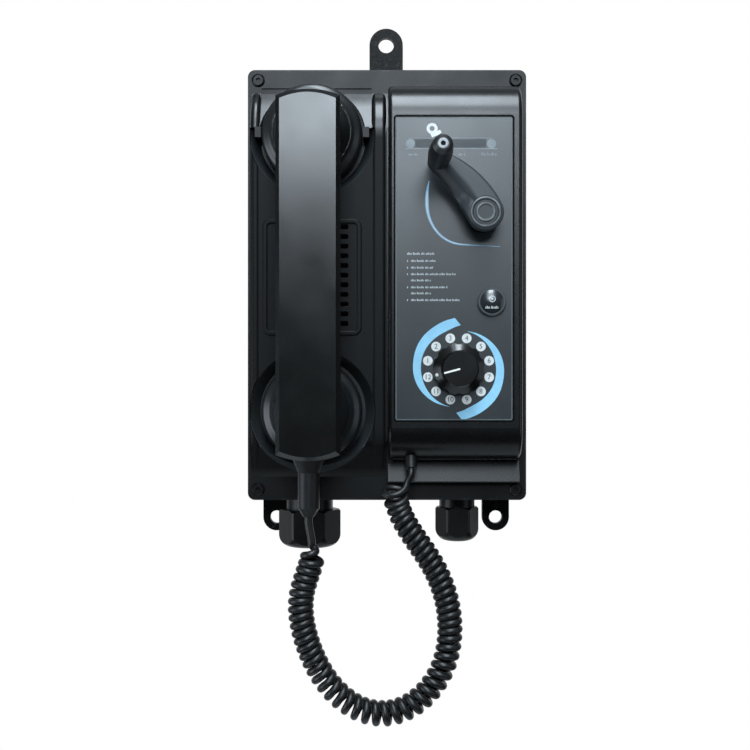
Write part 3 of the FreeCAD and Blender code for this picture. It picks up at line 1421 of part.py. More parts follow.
def handset_handle():
    """One moulding: grip, two heads and their threaded collars, hollow for capsules and wires."""
    solids = [handle_bar()]
    hollows = [pin_up(HANDSET_X, HANDLE_MID_D, DUCT_R, HANDLE_FOOT, EAR_Z)]
    for z in (EAR_Z, MOUTH_Z):
        solids += [head_dome(z), rod(HANDSET_X, z, COLLAR_R, HEAD_D - COLLAR_T, HEAD_D)]
        hollows += [rod(HANDSET_X, z, CAPSULE_R + FREE_FIT, HEAD_D - COLLAR_T, CAPSULE_BACK_D)]
        hollows += [rod(HANDSET_X, z, DUCT_R, CAPSULE_BACK_D, HANDLE_MID_D)]
    return fused(solids).cut(hollows)


def cap(z):
    """A screw cap with a dished face and seven sound holes."""
    face = RIM_D + CAP_FACE
    edge = CAP_EDGE_R * CAP_EDGE_SHARE
    screw_r = COLLAR_R + FREE_FIT
    outline = [
        (0, face + CAP_DISH), (CAP_DISH_R * CAP_CROWN_SHARE, face + CAP_DISH), (CAP_DISH_R, face),
        (HEAD_R - CAP_EDGE_R, face), (HEAD_R - edge, face + edge), (HEAD_R, face + CAP_EDGE_R),
        (HEAD_R, HEAD_D), (screw_r, HEAD_D), (screw_r, CAP_INNER_D), (0, CAP_INNER_D),
    ]
    places = ring_places(HANDSET_X, z, CAP_HOLE_RING, CAP_HOLES, 180 / CAP_HOLES) + [(HANDSET_X, z)]
    holes = [rod(x, hole_z, CAP_HOLE_R, face, CAP_INNER_D) for x, hole_z in places]
    return turned(HANDSET_X, z, outline).cut(holes)


def capsule(z):
    """A sound-powered unit: a wide front with the diaphragm, and a narrower magnet case."""
    step = CAPSULE_D + CAPSULE_STEP
    face = CAPSULE_D + CAPSULE_RIM_T
    rim_r = CAPSULE_R - CAPSULE_RIM_W
    outline = [
        (0, face), (rim_r, face), (rim_r, CAPSULE_D), (CAPSULE_R, CAPSULE_D),
        (CAPSULE_R, step), (CAPSULE_BACK_R, step), (CAPSULE_BACK_R, CAPSULE_BACK_D), (0, CAPSULE_BACK_D),
    ]
    return turned(HANDSET_X, z, outline)


def capsule_gaskets():
    inner = CAPSULE_R - GASKET_W
    rings = [tube(HANDSET_X, z, CAPSULE_R, inner, CAP_INNER_D, CAPSULE_D) for z in (EAR_Z, MOUTH_Z)]
    return Part.makeCompound(rings)


def hook_magnet():
    return rod(HANDSET_X, EAR_Z - MAGNET_OUT, MAGNET_R, CAP_INNER_D, CAPSULE_D - FREE_FIT)


def handset_boot(handle):
    """The tapered cord boot, rooted in the handle's foot."""
    foot = HANDLE_FOOT
    root_z = foot + BOOT_ROOT_L
    collar_z = foot + BOOT_COLLAR_L
    neck = foot - BOOT_CONE_L
    body = neck - BOOT_BODY_L
    root_r = DUCT_R - FREE_FIT
    outline = [
        (0, root_z), (root_r, root_z), (root_r, collar_z), (BOOT_TOP_R, collar_z), (BOOT_TOP_R, foot),
        (BOOT_R, neck), (BOOT_R, body), (BOOT_TIP_R, BOOT_TIP_Z), (0, BOOT_TIP_Z),
    ]
    return largest(turned_up(HANDSET_X, HANDLE_MID_D, outline).cut(handle))


# Cord


def grommet_axis():
    tilt = math.radians(GROMMET_TILT)
    return V(0, -math.cos(tilt), -math.sin(tilt))


def grommet_seat():
    """The place on the panel's rounded foot, square to the grommet's axis."""
    return at(GROMMET_X, PANEL_D - PANEL_FOOT_R, PANEL_FOOT_Z + PANEL_FOOT_R) + grommet_axis() * PANEL_FOOT_R


def grommet_neck(r):
    """The grommet's neck, or the hole for it, through the panel's wall."""
    start = grommet_seat() - grommet_axis() * GROMMET_NECK_L
    return Part.makeCylinder(r, GROMMET_NECK_L, start, grommet_axis())


def grommet_tip():
    return grommet_seat() + grommet_axis() * GROMMET_L


def cord_grommet(cover):
    """A tapered bush under the panel's foot that the cord comes out of."""
    base = grommet_seat() - grommet_axis() * GROMMET_ROOT_L
    length = GROMMET_L + GROMMET_ROOT_L
    dome = Part.makeCone(GROMMET_R, GROMMET_TIP_R, length, base, grommet_axis())
    return largest(dome.cut(cover))


def route_curve():
    """The smooth line that the curls follow, with the route's points as its control points."""
    points = [at(*place) for place in CORD_ROUTE]
    spans = len(points) - 2
    curve = Part.BSplineCurve()
    mults = [3] + [1] * (spans - 1) + [3]
    curve.buildFromPolesMultsKnots(points, mults, list(range(spans + 1)), False, 2)
    return curve


def curl_frame(curve, share):
    """Centre, and two directions across the route, at a share of its length."""
    u = curve.parameterAtDistance(curve.length() * share, curve.FirstParameter)
    centre = curve.value(u)
    along = curve.tangent(u)[0]
    side = along.cross(FORWARD).normalize()
    return centre, side, side.cross(along).normalize()


def curl_share(turn):
    """The share of the route that so many turns take up; the first and last are drawn out."""
    first = min(turn, CURL_EASE)
    last = max(0.0, turn - CURLS + CURL_EASE)
    extra = first - (first**2 - last**2) / (2 * CURL_EASE)
    return (turn + CURL_STRETCH * extra) / (CURLS + CURL_STRETCH * CURL_EASE)


def curl_point(curve, turn):
    """A point of the wire after so many turns; the last curl closes to the route."""
    centre, side, front = curl_frame(curve, curl_share(turn))
    grow = min(1.0, (CURLS - turn) / CURL_CLOSE)
    r = CURL_R * (1 - math.cos(math.pi * grow)) / 2
    a = math.pi - 2 * math.pi * turn
    return centre + side * (r * math.cos(a)) + front * (r * math.sin(a))


def arc_between(start, along, end):
    """The arc from start, in the direction along, to end."""
    way = end - start
    normal = along.cross(way)
    if normal.Length < 1e-6 * way.Length:
        return Part.LineSegment(start, end).toShape()
    inward = normal.cross(along).normalize()
    r = way.dot(way) / (2 * way.dot(inward))
    turn = 2 * math.atan2(way.dot(inward), way.dot(along))
    middle = start + along * (r * math.sin(turn / 2)) + inward * (r * (1 - math.cos(turn / 2)))
    return Part.Arc(start, middle, end).toShape()


def biarc(p0, t0, p1, t1):
    """Two arcs that join p0 to p1, with the directions t0 and t1 at the ends."""
    way = p1 - p0
    both = t0 + t1
    a = 2 * (1 - t0.dot(t1))
    b = 2 * way.dot(both)
    c = -way.dot(way)
    reach = -c / b if a < 1e-9 else (math.sqrt(b * b - 4 * a * c) - b) / (2 * a)
    joint = (p0 + t0 * reach + p1 - t1 * reach) * 0.5
    joint_way = (p1 - t1 * reach - p0 - t0 * reach).normalize()
    return [arc_between(p0, t0, joint), arc_between(joint, joint_way, p1)]


def cord_points():
    """The wire's own line at every half turn, as (point, direction), from grommet to boot."""
    curve = route_curve()
    step = 0.01
    half_turns = []
    for k in range(2 * CURLS + 1):
        turn = k / 2
        before = curl_point(curve, max(0, turn - step))
        after = curl_point(curve, min(CURLS, turn + step))
        half_turns.append((curl_point(curve, turn), (after - before).normalize()))
    out = grommet_axis()
    start = grommet_tip()
    boot_end = at(HANDSET_X, HANDLE_MID_D, BOOT_TIP_Z)
    up = UP
    return (
        [(start, out), (start + out * CORD_TAIL_L, out)]
        + half_turns
        + [(boot_end - up * CORD_TAIL_L, up), (boot_end, up)]
    )


def least_gap(edges):
    """The least free space between two turns of the wire, from points along it."""
    points = []
    length = 0.0
    for edge in edges:
        count = max(2, int(edge.Length / GAP_STEP))
        for k in range(count):
            at_share = edge.FirstParameter + (edge.LastParameter - edge.FirstParameter) * k / count
            points.append((length + edge.Length * k / count, edge.valueAt(at_share)))
        length += edge.Length
    apart = 4 * WIRE_R
    least = 1e9
    for i, (s, p) in enumerate(points):
        for t, q in points[i + 1:]:
            if t - s > 6 * math.pi * CURL_R:
                break
            if t - s > apart:
                least = min(least, p.distanceToPoint(q))
    return least - 2 * WIRE_R, length


def curly_cord():
    """One unbroken wire: a straight end, the curls, and a straight end at the boot."""
    ends = cord_points()
    edges = []
    for (p0, t0), (p1, t1) in zip(ends, ends[1:]):
        edges += biarc(p0, t0, p1, t1)
    gap, length = least_gap(edges)
    print("curly cord: %d curls, wire %.0f mm, least gap between turns %.2f mm" % (CURLS, length, gap))
    start, out = ends[0]
    side = V(1, 0, 0)
    across = out.cross(side)
    corners = []
    for k in range(WIRE_SIDES):
        a = 2 * math.pi * k / WIRE_SIDES
        corners.append(start + (side * math.cos(a) + across * math.sin(a)) * WIRE_R)
    section = Part.makePolygon(corners + corners[:1])
    return Part.Wire(edges).makePipeShell([section], True, False)


# Every piece by its name


def pieces():
    cover = front_cover()
    handle = handset_handle()
    made = {
        "rear_case": rear_case(),
        "case_gasket": case_gasket(),
        "front_cover": cover,
        "cover_screws": cover_screws(),
        "faceplate": faceplate(),
        "cradle_catches": cradle_catches(),
        "sounder_housing": sounder_housing(),
        "sounder_diaphragm": sounder_diaphragm(),
        "sounder_coil": sounder_coil(),
        "circuit_board": circuit_board(),
        "terminal_block": terminal_block(),
        "terminal_screws": terminal_screws(),
        "hook_switch": hook_switch(),
        "generator_front_plate": generator_plate(GEN_FRONT_D - GEN_PLATE_T),
        "generator_rear_plate": generator_plate(GEN_BACK_D),
        "generator_spacers": generator_spacers(),
        "generator_screws": generator_screws(),
        "stator_core": stator_core(),
        "stator_coils": stator_coils(),
        "rotor_bushes": rotor_bushes(),
        "rotor_shaft": rotor_shaft(),
        "rotor_magnet": rotor_magnet(),
        "pinion": pinion(),
        "drive_gear": drive_gear(),
        "crank_bearing": crank_bearing(),
        "crank_seal": crank_seal(),
        "crank_shaft": crank_shaft(),
        "crank_arm": crank_arm(),
        "crank_screw": crank_screw(),
        "crank_cap": crank_cap(),
        "grip_pin": grip_pin(),
        "crank_grip": crank_grip(),
        "grip_screw": grip_screw(),
        "selector_switch": selector_switch(),
        "selector_nut": selector_nut(),
        "selector_shaft": selector_shaft(),
        "selector_knob": selector_knob(),
        "knob_pointer": knob_marks(),
        "knob_screw": knob_screw(),
        "button_bezel": button_bezel(),
        "call_button": call_button(),
        "button_switch": button_switch(),
        "handset_handle": handle,
        "ear_cap": cap(EAR_Z),
        "mouth_cap": cap(MOUTH_Z),
        "receiver_capsule": capsule(EAR_Z),
        "transmitter_capsule": capsule(MOUTH_Z),
        "capsule_gaskets": capsule_gaskets(),
        "hook_magnet": hook_magnet(),
        "handset_boot": handset_boot(handle),
        "cord_grommet": cord_grommet(cover),
        "curly_cord": curly_cord(),
    }
    for name, sizes in GLANDS.items():
        made[name + "_body"] = gland_body(*sizes)
        made[name + "_nut"] = gland_nut(*sizes)
        made[name + "_seal"] = gland_seal(*sizes)
        made[name + "_locknut"] = gland_locknut(*sizes)
    return made


os.makedirs("parts", exist_ok=True)
for name, shape in pieces().items():
    shape.exportStep("parts/" + name + ".step")
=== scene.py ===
"""A sealed wall telephone with a hand generator: its camera, cord, finishes, print and light."""

import math

import bpy
from mathutils import Matrix, Vector


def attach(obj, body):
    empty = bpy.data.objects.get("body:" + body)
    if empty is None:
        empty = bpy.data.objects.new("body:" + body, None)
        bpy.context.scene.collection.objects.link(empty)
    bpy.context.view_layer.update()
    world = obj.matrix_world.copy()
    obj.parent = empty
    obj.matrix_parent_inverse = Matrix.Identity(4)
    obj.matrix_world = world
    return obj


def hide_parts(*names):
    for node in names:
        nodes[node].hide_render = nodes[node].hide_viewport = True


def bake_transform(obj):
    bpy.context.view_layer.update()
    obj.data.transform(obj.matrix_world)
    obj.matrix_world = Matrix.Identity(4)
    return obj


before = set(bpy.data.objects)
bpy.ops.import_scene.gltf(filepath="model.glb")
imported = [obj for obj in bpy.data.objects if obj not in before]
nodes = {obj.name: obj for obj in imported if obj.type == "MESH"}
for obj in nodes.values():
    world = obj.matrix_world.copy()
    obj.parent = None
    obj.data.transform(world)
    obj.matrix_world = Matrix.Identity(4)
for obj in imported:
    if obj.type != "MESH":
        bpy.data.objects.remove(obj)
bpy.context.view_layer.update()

# Sizes are in millimetres, and places are (x, d, z): x to the viewer's right, d out from the wall, z up
CAMERA_AT = (-7.2, 757.0, -54.0)
VIEW_ANGLE = 35.64

# The plate, and how thick one layer of ink lies on it
PLATE_D = 80.7
PLATE_X, PLATE_Z = 38.6, 7.7
PLATE_W, PLATE_H = 70.0, 178.0
INK = 0.05

# The middles of what turns, and the call button's domed front
DIAL_X, DIAL_Z = 41.2, -50.5
CRANK_X, CRANK_Z = 55.0, 37.7
GRIP_X, GRIP_Z = 28.38, 66.75
BUTTON_X, BUTTON_Z, BUTTON_D = 60.4, -11.6, 85.2
DOME_R = 15.25

# The middles of the handset's two heads, which are those of the cradle's cups
HANDSET_X = -44.3
EAR_Z, MOUTH_Z = 88.0, -75.3

# Where the cover's finish changes, each from the first number to the second
RIM_TO_TOP_D = (57.5, 60.5)
CRADLE_TO_PANEL_X = (-0.6, 0.0)
# The cradle's face below its slope, and the feet of the raised parts, carry painted shade
FACE_TO_SLOPE_Z = (86.0, 94.0)
PANEL_FOOT_Z = (-94.0, -86.0)
# The cups, painted paler as painted light in their shade, and their lips paler still as a painted highlight
CUP_R = 37.2
CUP_SIDE_X = -80.6
CUP_TOP = 3.5
CUP_TO_FACE_D = (68.2, 68.8)
CUP_LIP_D = (67.8, 69.2)
WORN_SIDE_X = (82.2, 83.6)
WORN_END_Z = (127.7, 129.1)

# The crank cap's rim and ring, painted paler as a highlight in rubbed patches, as distances from the crank's
# axis
CAP_RIM_R = (7.0, 8.0)
CAP_RING_R = 4.8
CAP_RING_HALF_W = (0.4, 1.1)

# The handle's bar, with how far its back is rolled in at each depth in front of HANDLE_BACK_D
HANDLE_W, HANDLE_TOP, HANDLE_FOOT = 35.5, 103.6, -101.5
HANDLE_ARCH, HANDLE_CHAMFER = 3.4, 2.2
HANDLE_BACK_D, HANDLE_FRONT_D = 91.0, 117.0
HANDLE_BACK_ROLL = ((2.6, 0.0), (0.8, 0.9), (0.0, 2.8))

# A head of the handset in (radius, depth) from its collar, round its shoulder and up to the bar
HEAD_PROFILE = [
    (26.5, 63.0), (26.5, 69.0), (29.7, 69.0), (29.7, 70.2), (29.4, 71.6), (28.7, 72.8), (27.6, 73.7),
    (26.2, 74.3), (24.7, 75.2), (23.3, 77.2), (22.0, 80.5), (20.8, 85.5), (19.6, 92.5), (18.5, 101.0),
    (17.5, 111.0),
]
HEAD_SIDES = 96

# The crank's arm: its arcs, its edges, how far its front falls away, and the pocket for the cap
ARM_BACK_D, ARM_FRONT_D = 93.0, 103.0
ARM_L, ARM_ANGLE = 39.4, 132.5
ARM_HUB_R, ARM_TIP_R, ARM_BULGE_R, ARM_HOLLOW_R = 10.4, 5.8, 62.0, 130.0
ARM_BACK_EDGE, ARM_EDGE_R, ARM_EDGE_STEPS = 1.2, 1.6, 4
ARM_FALL = 5.0
FALL_FROM_HUB, FALL_RUN = -0.6, 6.0
FALL_FROM_V, FALL_WIDTH, FALL_POWER = 3.0, 9.0, 1.6
SPINE_STEPS = 8
HUB_POCKET_R, HUB_POCKET_D, HUB_CUTTER_H = 8.85, 100.25, 10.0

# The grip's screw, from the end of its shank to its head, with its edges and its socket
GRIP_SCREW_BACK, GRIP_SCREW_SEAT, GRIP_SCREW_FRONT = 141.7, 148.7, 149.9
GRIP_HEAD_R, GRIP_SHANK_R = 2.9, 1.5
GRIP_HEAD_EDGE, GRIP_SHANK_EDGE = 0.35, 0.4
SOCKET_RIM_W, SOCKET_EDGE_W, SOCKET_EDGE_H = 1.15, 0.15, 0.12
SOCKET_WALL_W, SOCKET_H, SOCKET_R = 0.04, 0.8, 1.28

# The curly cord's wire, thinner where it leaves the grommet
WIRE_R = 2.2
LEAD_SHARE, LEAD_TURNS = 0.87, 3.0

# Its curls: the first ones wider and leaning, the ends drawn out, and open where the cord hangs lowest
CURL_R = 5.25
FIRST_CURL_MORE, FIRST_CURL_TURNS = 1.6, 2.0
FIRST_LEAN, LEAN_TURNS = 48.0, 4.0
CURLS = 57
CURL_CLOSE = 1.25
CURL_EASE = 1.5
CURL_STRETCH = 1.5
OPEN_FROM, OPEN_TO, OPEN_EASE = 20.0, 43.0, 5.0
OPEN_MORE = 0.32
POINTS_A_TURN = 16
GROMMET_TIP = (14.0, 72.84, -108.97)
GROMMET_WAY = (0.0, 0.4384, -0.8988)
BOOT_END = (-44.3, 104.0, -133.5)
CORD_TAIL = 4.0

# The curly cord's way from the grommet down, round and up to the boot
CORD_ROUTE = [
    (4.4, 80.0, -116.5),
    (4.6, 81.0, -124.5),
    (7.0, 82.3, -133.5),
    (12.5, 84.0, -143.5),
    (20.8, 85.5, -155.0),
    (29.0, 87.5, -168.0),
    (34.6, 90.0, -184.0),
    (36.0, 92.0, -201.5),
    (32.8, 94.0, -218.0),
    (24.8, 96.0, -231.7),
    (13.5, 98.0, -241.0),
    (0.5, 99.5, -245.2),
    (-12.5, 100.5, -243.6),
    (-23.8, 101.5, -237.3),
    (-33.0, 102.3, -228.0),
    (-40.2, 103.0, -216.5),
    (-45.5, 103.5, -203.5),
    (-48.7, 104.0, -190.0),
    (-48.8, 104.0, -177.5),
    (-45.5, 104.0, -166.5),
    (-41.8, 104.0, -156.5),
    (-42.5, 104.0, -147.0),
]


def at(x, d, z):
    """A place in metres, in the frame's own axes."""
    return Vector((x, -d, z)) / 1000


# Camera
def set_camera():
    """A level camera 700 mm in front of the cover's rim, a little left of the box's middle and below it."""
    data = bpy.data.cameras.new("camera")
    data.angle = math.radians(VIEW_ANGLE)
    camera = bpy.data.objects.new("camera", data)
    camera.location = at(*CAMERA_AT)
    camera.rotation_euler = (math.radians(90), 0, 0)
    bpy.context.collection.objects.link(camera)
    bpy.context.scene.camera = camera
    bpy.context.scene.view_settings.view_transform = "Standard"


# Finishes
def colour(code):
    """A hex colour as it is seen, turned into the linear numbers that Blender reckons with."""
    parts = [int(code[k:k + 2], 16) / 255 for k in (1, 3, 5)]
    return tuple(p / 12.92 if p <= 0.04045 else ((p + 0.055) / 1.055) ** 2.4 for p in parts) + (1.0,)


def add(tree, kind, inputs=None, **settings):
    """Adds a node. Each input is a number or colour to set, or a node or an output to link.

    Inputs without a plain name go by their number. A MapRange turns its input 0 from the range of 1 and 2
    to that of 3 and 4, and a colour Mix blends from 6 to 7 by its input 0 and gives that at its output 2.
    """
    made = tree.nodes.new("ShaderNode" + kind)
    for name, value in settings.items():
        setattr(made, name, value)
    for name, value in (inputs or {}).items():
        if isinstance(value, bpy.types.Node):
            value = value.outputs[0]
        if isinstance(value, bpy.types.NodeSocket):
            tree.links.new(value, made.inputs[name])
        else:
            made.inputs[name].default_value = value
    return made


def new_material(name):
    """An empty material, and the piece's own coordinates in metres."""
    material = bpy.data.materials.new(name)
    material.use_nodes = True
    tree = material.node_tree
    tree.nodes.clear()
    return material, tree, add(tree, "TexCoord").outputs["Object"]


def moulding(name, base, pale, roughness, ior, grain_mm, grain_depth_mm, smear=0.05, shine=0.5):
    """Moulded plastic or rubber, or lacquer: a fine grain, faint smears from hands and a little dust. The
    grain is drawn coarser than a real mould's, which would be too fine to show."""
    material, tree, place = new_material(name)
    smears = add(tree, "TexNoise", {"Vector": place, "Scale": 1000 / 22.0, "Detail": 3.0})
    specks = add(tree, "TexNoise", {"Vector": place, "Scale": 1000 / 5.0, "Detail": 6.0})
    grain = add(tree, "TexNoise", {"Vector": place, "Scale": 1000 / grain_mm, "Detail": 2.0})
    dust = add(tree, "MapRange", {0: specks, 1: 0.55, 2: 0.8, 3: 0.0, 4: 0.25})
    tint = add(tree, "Mix", {0: dust, 6: colour(base), 7: colour(pale)}, data_type="RGBA")
    smeared = add(tree, "MapRange", {
        0: smears, 1: 0.3, 2: 0.7, 3: roughness - smear / 2, 4: roughness + smear,
    })
    bump = add(tree, "Bump", {"Strength": 0.6, "Distance": grain_depth_mm / 1000, "Height": grain})
    shader = add(tree, "BsdfPrincipled", {
        "Base Color": tint.outputs[2],
        "Roughness": smeared, "IOR": ior, "Specular IOR Level": shine, "Normal": bump,
    })
    add(tree, "OutputMaterial", {"Surface": shader})
    return material


def cup_masks(tree, axes):
    """Where the cover's surface lies in one of the two cups, which take painted light, and where on a cup's
    lip, which takes a painted highlight.
    """
    middle = (EAR_Z + MOUTH_Z) / 2000
    up = add(tree, "Math", {0: axes[2], 1: middle}, operation="SUBTRACT")
    from_middle = add(tree, "Math", {0: up}, operation="ABSOLUTE")
    off = add(tree, "Math", {0: from_middle, 1: EAR_Z / 1000 - middle}, operation="SUBTRACT")
    across = add(tree, "Math", {0: axes[0], 1: -HANDSET_X / 1000}, operation="ADD")
    to_place = add(tree, "CombineXYZ", {0: across, 2: off})
    reach = add(tree, "VectorMath", {0: to_place}, operation="LENGTH").outputs["Value"]
    cup_painted_light = add(tree, "Math", {0: reach, 1: CUP_R / 1000}, operation="LESS_THAN")
    for limit in (
        add(tree, "Math", {0: axes[0], 1: CUP_SIDE_X / 1000}, operation="GREATER_THAN"),
        add(tree, "Math", {0: axes[2], 1: (EAR_Z + CUP_TOP) / 1000}, operation="LESS_THAN"),
        add(tree, "MapRange", {0: axes[1], 1: -CUP_TO_FACE_D[1] / 1000, 2: -CUP_TO_FACE_D[0] / 1000}),
    ):
        cup_painted_light = add(tree, "Math", {0: cup_painted_light, 1: limit}, operation="MULTIPLY")
    lip = add(tree, "MapRange", {
        0: axes[1], 1: -CUP_LIP_D[1] / 1000, 2: -CUP_LIP_D[0] / 1000, 3: 1.0, 4: 0.0,
    })
    return cup_painted_light, add(tree, "Math", {0: cup_painted_light, 1: lip}, operation="MULTIPLY")


def worn_edge(tree, place, axes):
    """The cover's outer edge, in the patches where it is rubbed."""
    side = add(tree, "Math", {0: axes[0]}, operation="ABSOLUTE")
    height = add(tree, "Math", {0: axes[2]}, operation="ABSOLUTE")
    near_side = add(tree, "MapRange", {0: side, 1: WORN_SIDE_X[0] / 1000, 2: WORN_SIDE_X[1] / 1000})
    near_end = add(tree, "MapRange", {0: height, 1: WORN_END_Z[0] / 1000, 2: WORN_END_Z[1] / 1000})
    edge = add(tree, "Math", {0: near_side, 1: near_end}, operation="MAXIMUM")
    patches = add(tree, "TexNoise", {"Vector": place, "Scale": 1000 / 6.0, "Detail": 5.0})
    rubbed = add(tree, "MapRange", {0: patches, 1: 0.42, 2: 0.62, 3: 0.0, 4: 0.7})
    return add(tree, "Math", {0: edge, 1: rubbed}, operation="MULTIPLY")


def cover_moulding():
    """Glass-filled polycarbonate cover. The flat rim has a fine spark-eroded grain that looks half matt, and
    the cradle's face a coarser one, whose shine is cut to a third as painted shade where the handset and the
    panel shade it; the feet of the raised panel and cradle have their shine cut as painted shade too. The
    raised panel and the cradle's upper slope are smoother and take a soft sheen. The outer edge is rubbed
    paler in patches. The two cups are painted paler as painted light, and their lips paler still as a painted
    highlight. The grain is drawn at 0.7 mm, because the real one would be too fine to show."""
    material, tree, place = new_material("cover_moulding")
    axes = add(tree, "SeparateXYZ", {0: place}).outputs
    forward = add(tree, "MapRange", {0: axes[1], 1: -RIM_TO_TOP_D[0] / 1000, 2: -RIM_TO_TOP_D[1] / 1000})
    foot = add(tree, "MapRange", {
        0: axes[2], 1: PANEL_FOOT_Z[0] / 1000, 2: PANEL_FOOT_Z[1] / 1000, 3: 0.45, 4: 1.0,
    })
    cradle_face = forward
    for axis, (start, end) in ((axes[0], CRADLE_TO_PANEL_X), (axes[2], FACE_TO_SLOPE_Z)):
        before = add(tree, "MapRange", {0: axis, 1: start / 1000, 2: end / 1000, 3: 1.0, 4: 0.0})
        cradle_face = add(tree, "Math", {0: cradle_face, 1: before}, operation="MULTIPLY")

    specks = add(tree, "TexNoise", {"Vector": place, "Scale": 1000 / 5.0, "Detail": 6.0})
    dust = add(tree, "MapRange", {0: specks, 1: 0.55, 2: 0.8, 3: 0.0, 4: 0.2})
    tint = add(tree, "Mix", {0: dust, 6: colour("#0b0c0d"), 7: colour("#1e2022")}, data_type="RGBA")
    cup_painted_light, lip_highlight = cup_masks(tree, axes)
    worn = worn_edge(tree, place, axes)
    # Paler: rubbed wear on the outer edge, painted light in the cups and a painted highlight on their lips
    for where, wear_and_painted_light in ((cup_painted_light, "#2a2d2f"), (lip_highlight, "#63686a"), (worn, "#3a3c3d")):
        tint = add(tree, "Mix", {0: where, 6: tint.outputs[2], 7: colour(wear_and_painted_light)}, data_type="RGBA")

    smears = add(tree, "TexNoise", {"Vector": place, "Scale": 1000 / 18.0, "Detail": 3.0})
    rim_rough = add(tree, "MapRange", {0: smears, 1: 0.3, 2: 0.7, 3: 0.35, 4: 0.41})
    top_rough = add(tree, "MapRange", {0: smears, 1: 0.3, 2: 0.7, 3: 0.26, 4: 0.30})
    smooth_rough = add(tree, "Mix", {0: forward, 2: rim_rough, 3: top_rough})
    rim_shine = add(tree, "MapRange", {0: forward, 3: 0.58, 4: 1.0})
    # Painted shade: the cradle's face keeps a third of its shine, for the shade between handset and panel
    pits = add(tree, "MapRange", {0: cradle_face, 3: 1.0, 4: 0.33})
    shine_and_painted_shade = add(tree, "Math", {0: rim_shine, 1: pits}, operation="MULTIPLY")
    # Painted shade: the feet of the raised panel and cradle keep less than half their shine
    foot_painted_shade = add(tree, "Mix", {0: forward, 2: 1.0, 3: foot})
    grain = add(tree, "TexNoise", {"Vector": place, "Scale": 1000 / 0.7, "Detail": 2.0})
    shader = add(tree, "BsdfPrincipled", {
        "Base Color": tint.outputs[2],
        "Roughness": add(tree, "Mix", {0: cradle_face, 2: smooth_rough, 3: 0.5}),
        "Specular Tint": add(tree, "Math", {0: shine_and_painted_shade, 1: foot_painted_shade}, operation="MULTIPLY"),
        "IOR": 1.5,
        "Normal": add(tree, "Bump", {"Strength": 0.5, "Distance": 0.00002, "Height": grain}),
    })
    add(tree, "OutputMaterial", {"Surface": shader})
    return material


def cast_enamel():
    """Stoved black enamel on a sand-cast case: a matt orange-peel skin, chipped paler here and there."""
    material, tree, place = new_material("cast_enamel")
    peel = add(tree, "TexNoise", {"Vector": place, "Scale": 1000 / 1.6, "Detail": 3.0})
    knocks = add(tree, "TexNoise", {"Vector": place, "Scale": 1000 / 3.0, "Detail": 8.0})
    chips = add(tree, "MapRange", {0: knocks, 1: 0.63, 2: 0.68, 3: 0.0, 4: 1.0})
    tint = add(tree, "Mix", {0: chips, 6: colour("#090a0a"), 7: colour("#242526")}, data_type="RGBA")
    shader = add(tree, "BsdfPrincipled", {
        "Base Color": tint.outputs[2],
        "Roughness": add(tree, "MapRange", {0: peel, 1: 0.3, 2: 0.7, 3: 0.38, 4: 0.52}),
        "IOR": 1.5, "Specular IOR Level": 0.13,
        "Normal": add(tree, "Bump", {"Strength": 0.7, "Distance": 0.00012, "Height": peel}),
    })
    add(tree, "OutputMaterial", {"Surface": shader})
    return material


def printed_film():
    """Grey polyester film over the plate: even and satin, with a faint lie of tiny pits."""
    material, tree, place = new_material("printed_film")
    cloud = add(tree, "TexNoise", {"Vector": place, "Scale": 1000 / 30.0, "Detail": 3.0})
    pits = add(tree, "TexNoise", {"Vector": place, "Scale": 1000 / 0.5, "Detail": 2.0})
    shade = add(tree, "MapRange", {0: cloud, 1: 0.3, 2: 0.7, 3: 0.0, 4: 1.0})
    tint = add(tree, "Mix", {0: shade, 6: colour("#282e31"), 7: colour("#2c3235")}, data_type="RGBA")
    shader = add(tree, "BsdfPrincipled", {
        "Base Color": tint.outputs[2],
        "Roughness": add(tree, "MapRange", {0: cloud, 1: 0.3, 2: 0.7, 3: 0.29, 4: 0.33}),
        "IOR": 1.6,
        "Normal": add(tree, "Bump", {"Strength": 0.4, "Distance": 0.000015, "Height": pits}),
    })
    add(tree, "OutputMaterial", {"Surface": shader})
    return material


def ink(name, base, faded):
    """Screen-printed ink: flat and opaque, a little thinner where cleaning has rubbed it."""
    material, tree, place = new_material(name)
    patches = add(tree, "TexNoise", {"Vector": place, "Scale": 1000 / 4.0, "Detail": 5.0})
    rubbed = add(tree, "MapRange", {0: patches, 1: 0.35, 2: 0.75, 3: 0.0, 4: 1.0})
    tint = add(tree, "Mix", {0: rubbed, 6: colour(base), 7: colour(faded)}, data_type="RGBA")
    shader = add(tree, "BsdfPrincipled", {
        "Base Color": tint.outputs[2],
        "Roughness": add(tree, "MapRange", {0: rubbed, 3: 0.42, 4: 0.55}), "IOR": 1.5,
    })
    add(tree, "OutputMaterial", {"Surface": shader})
    return material


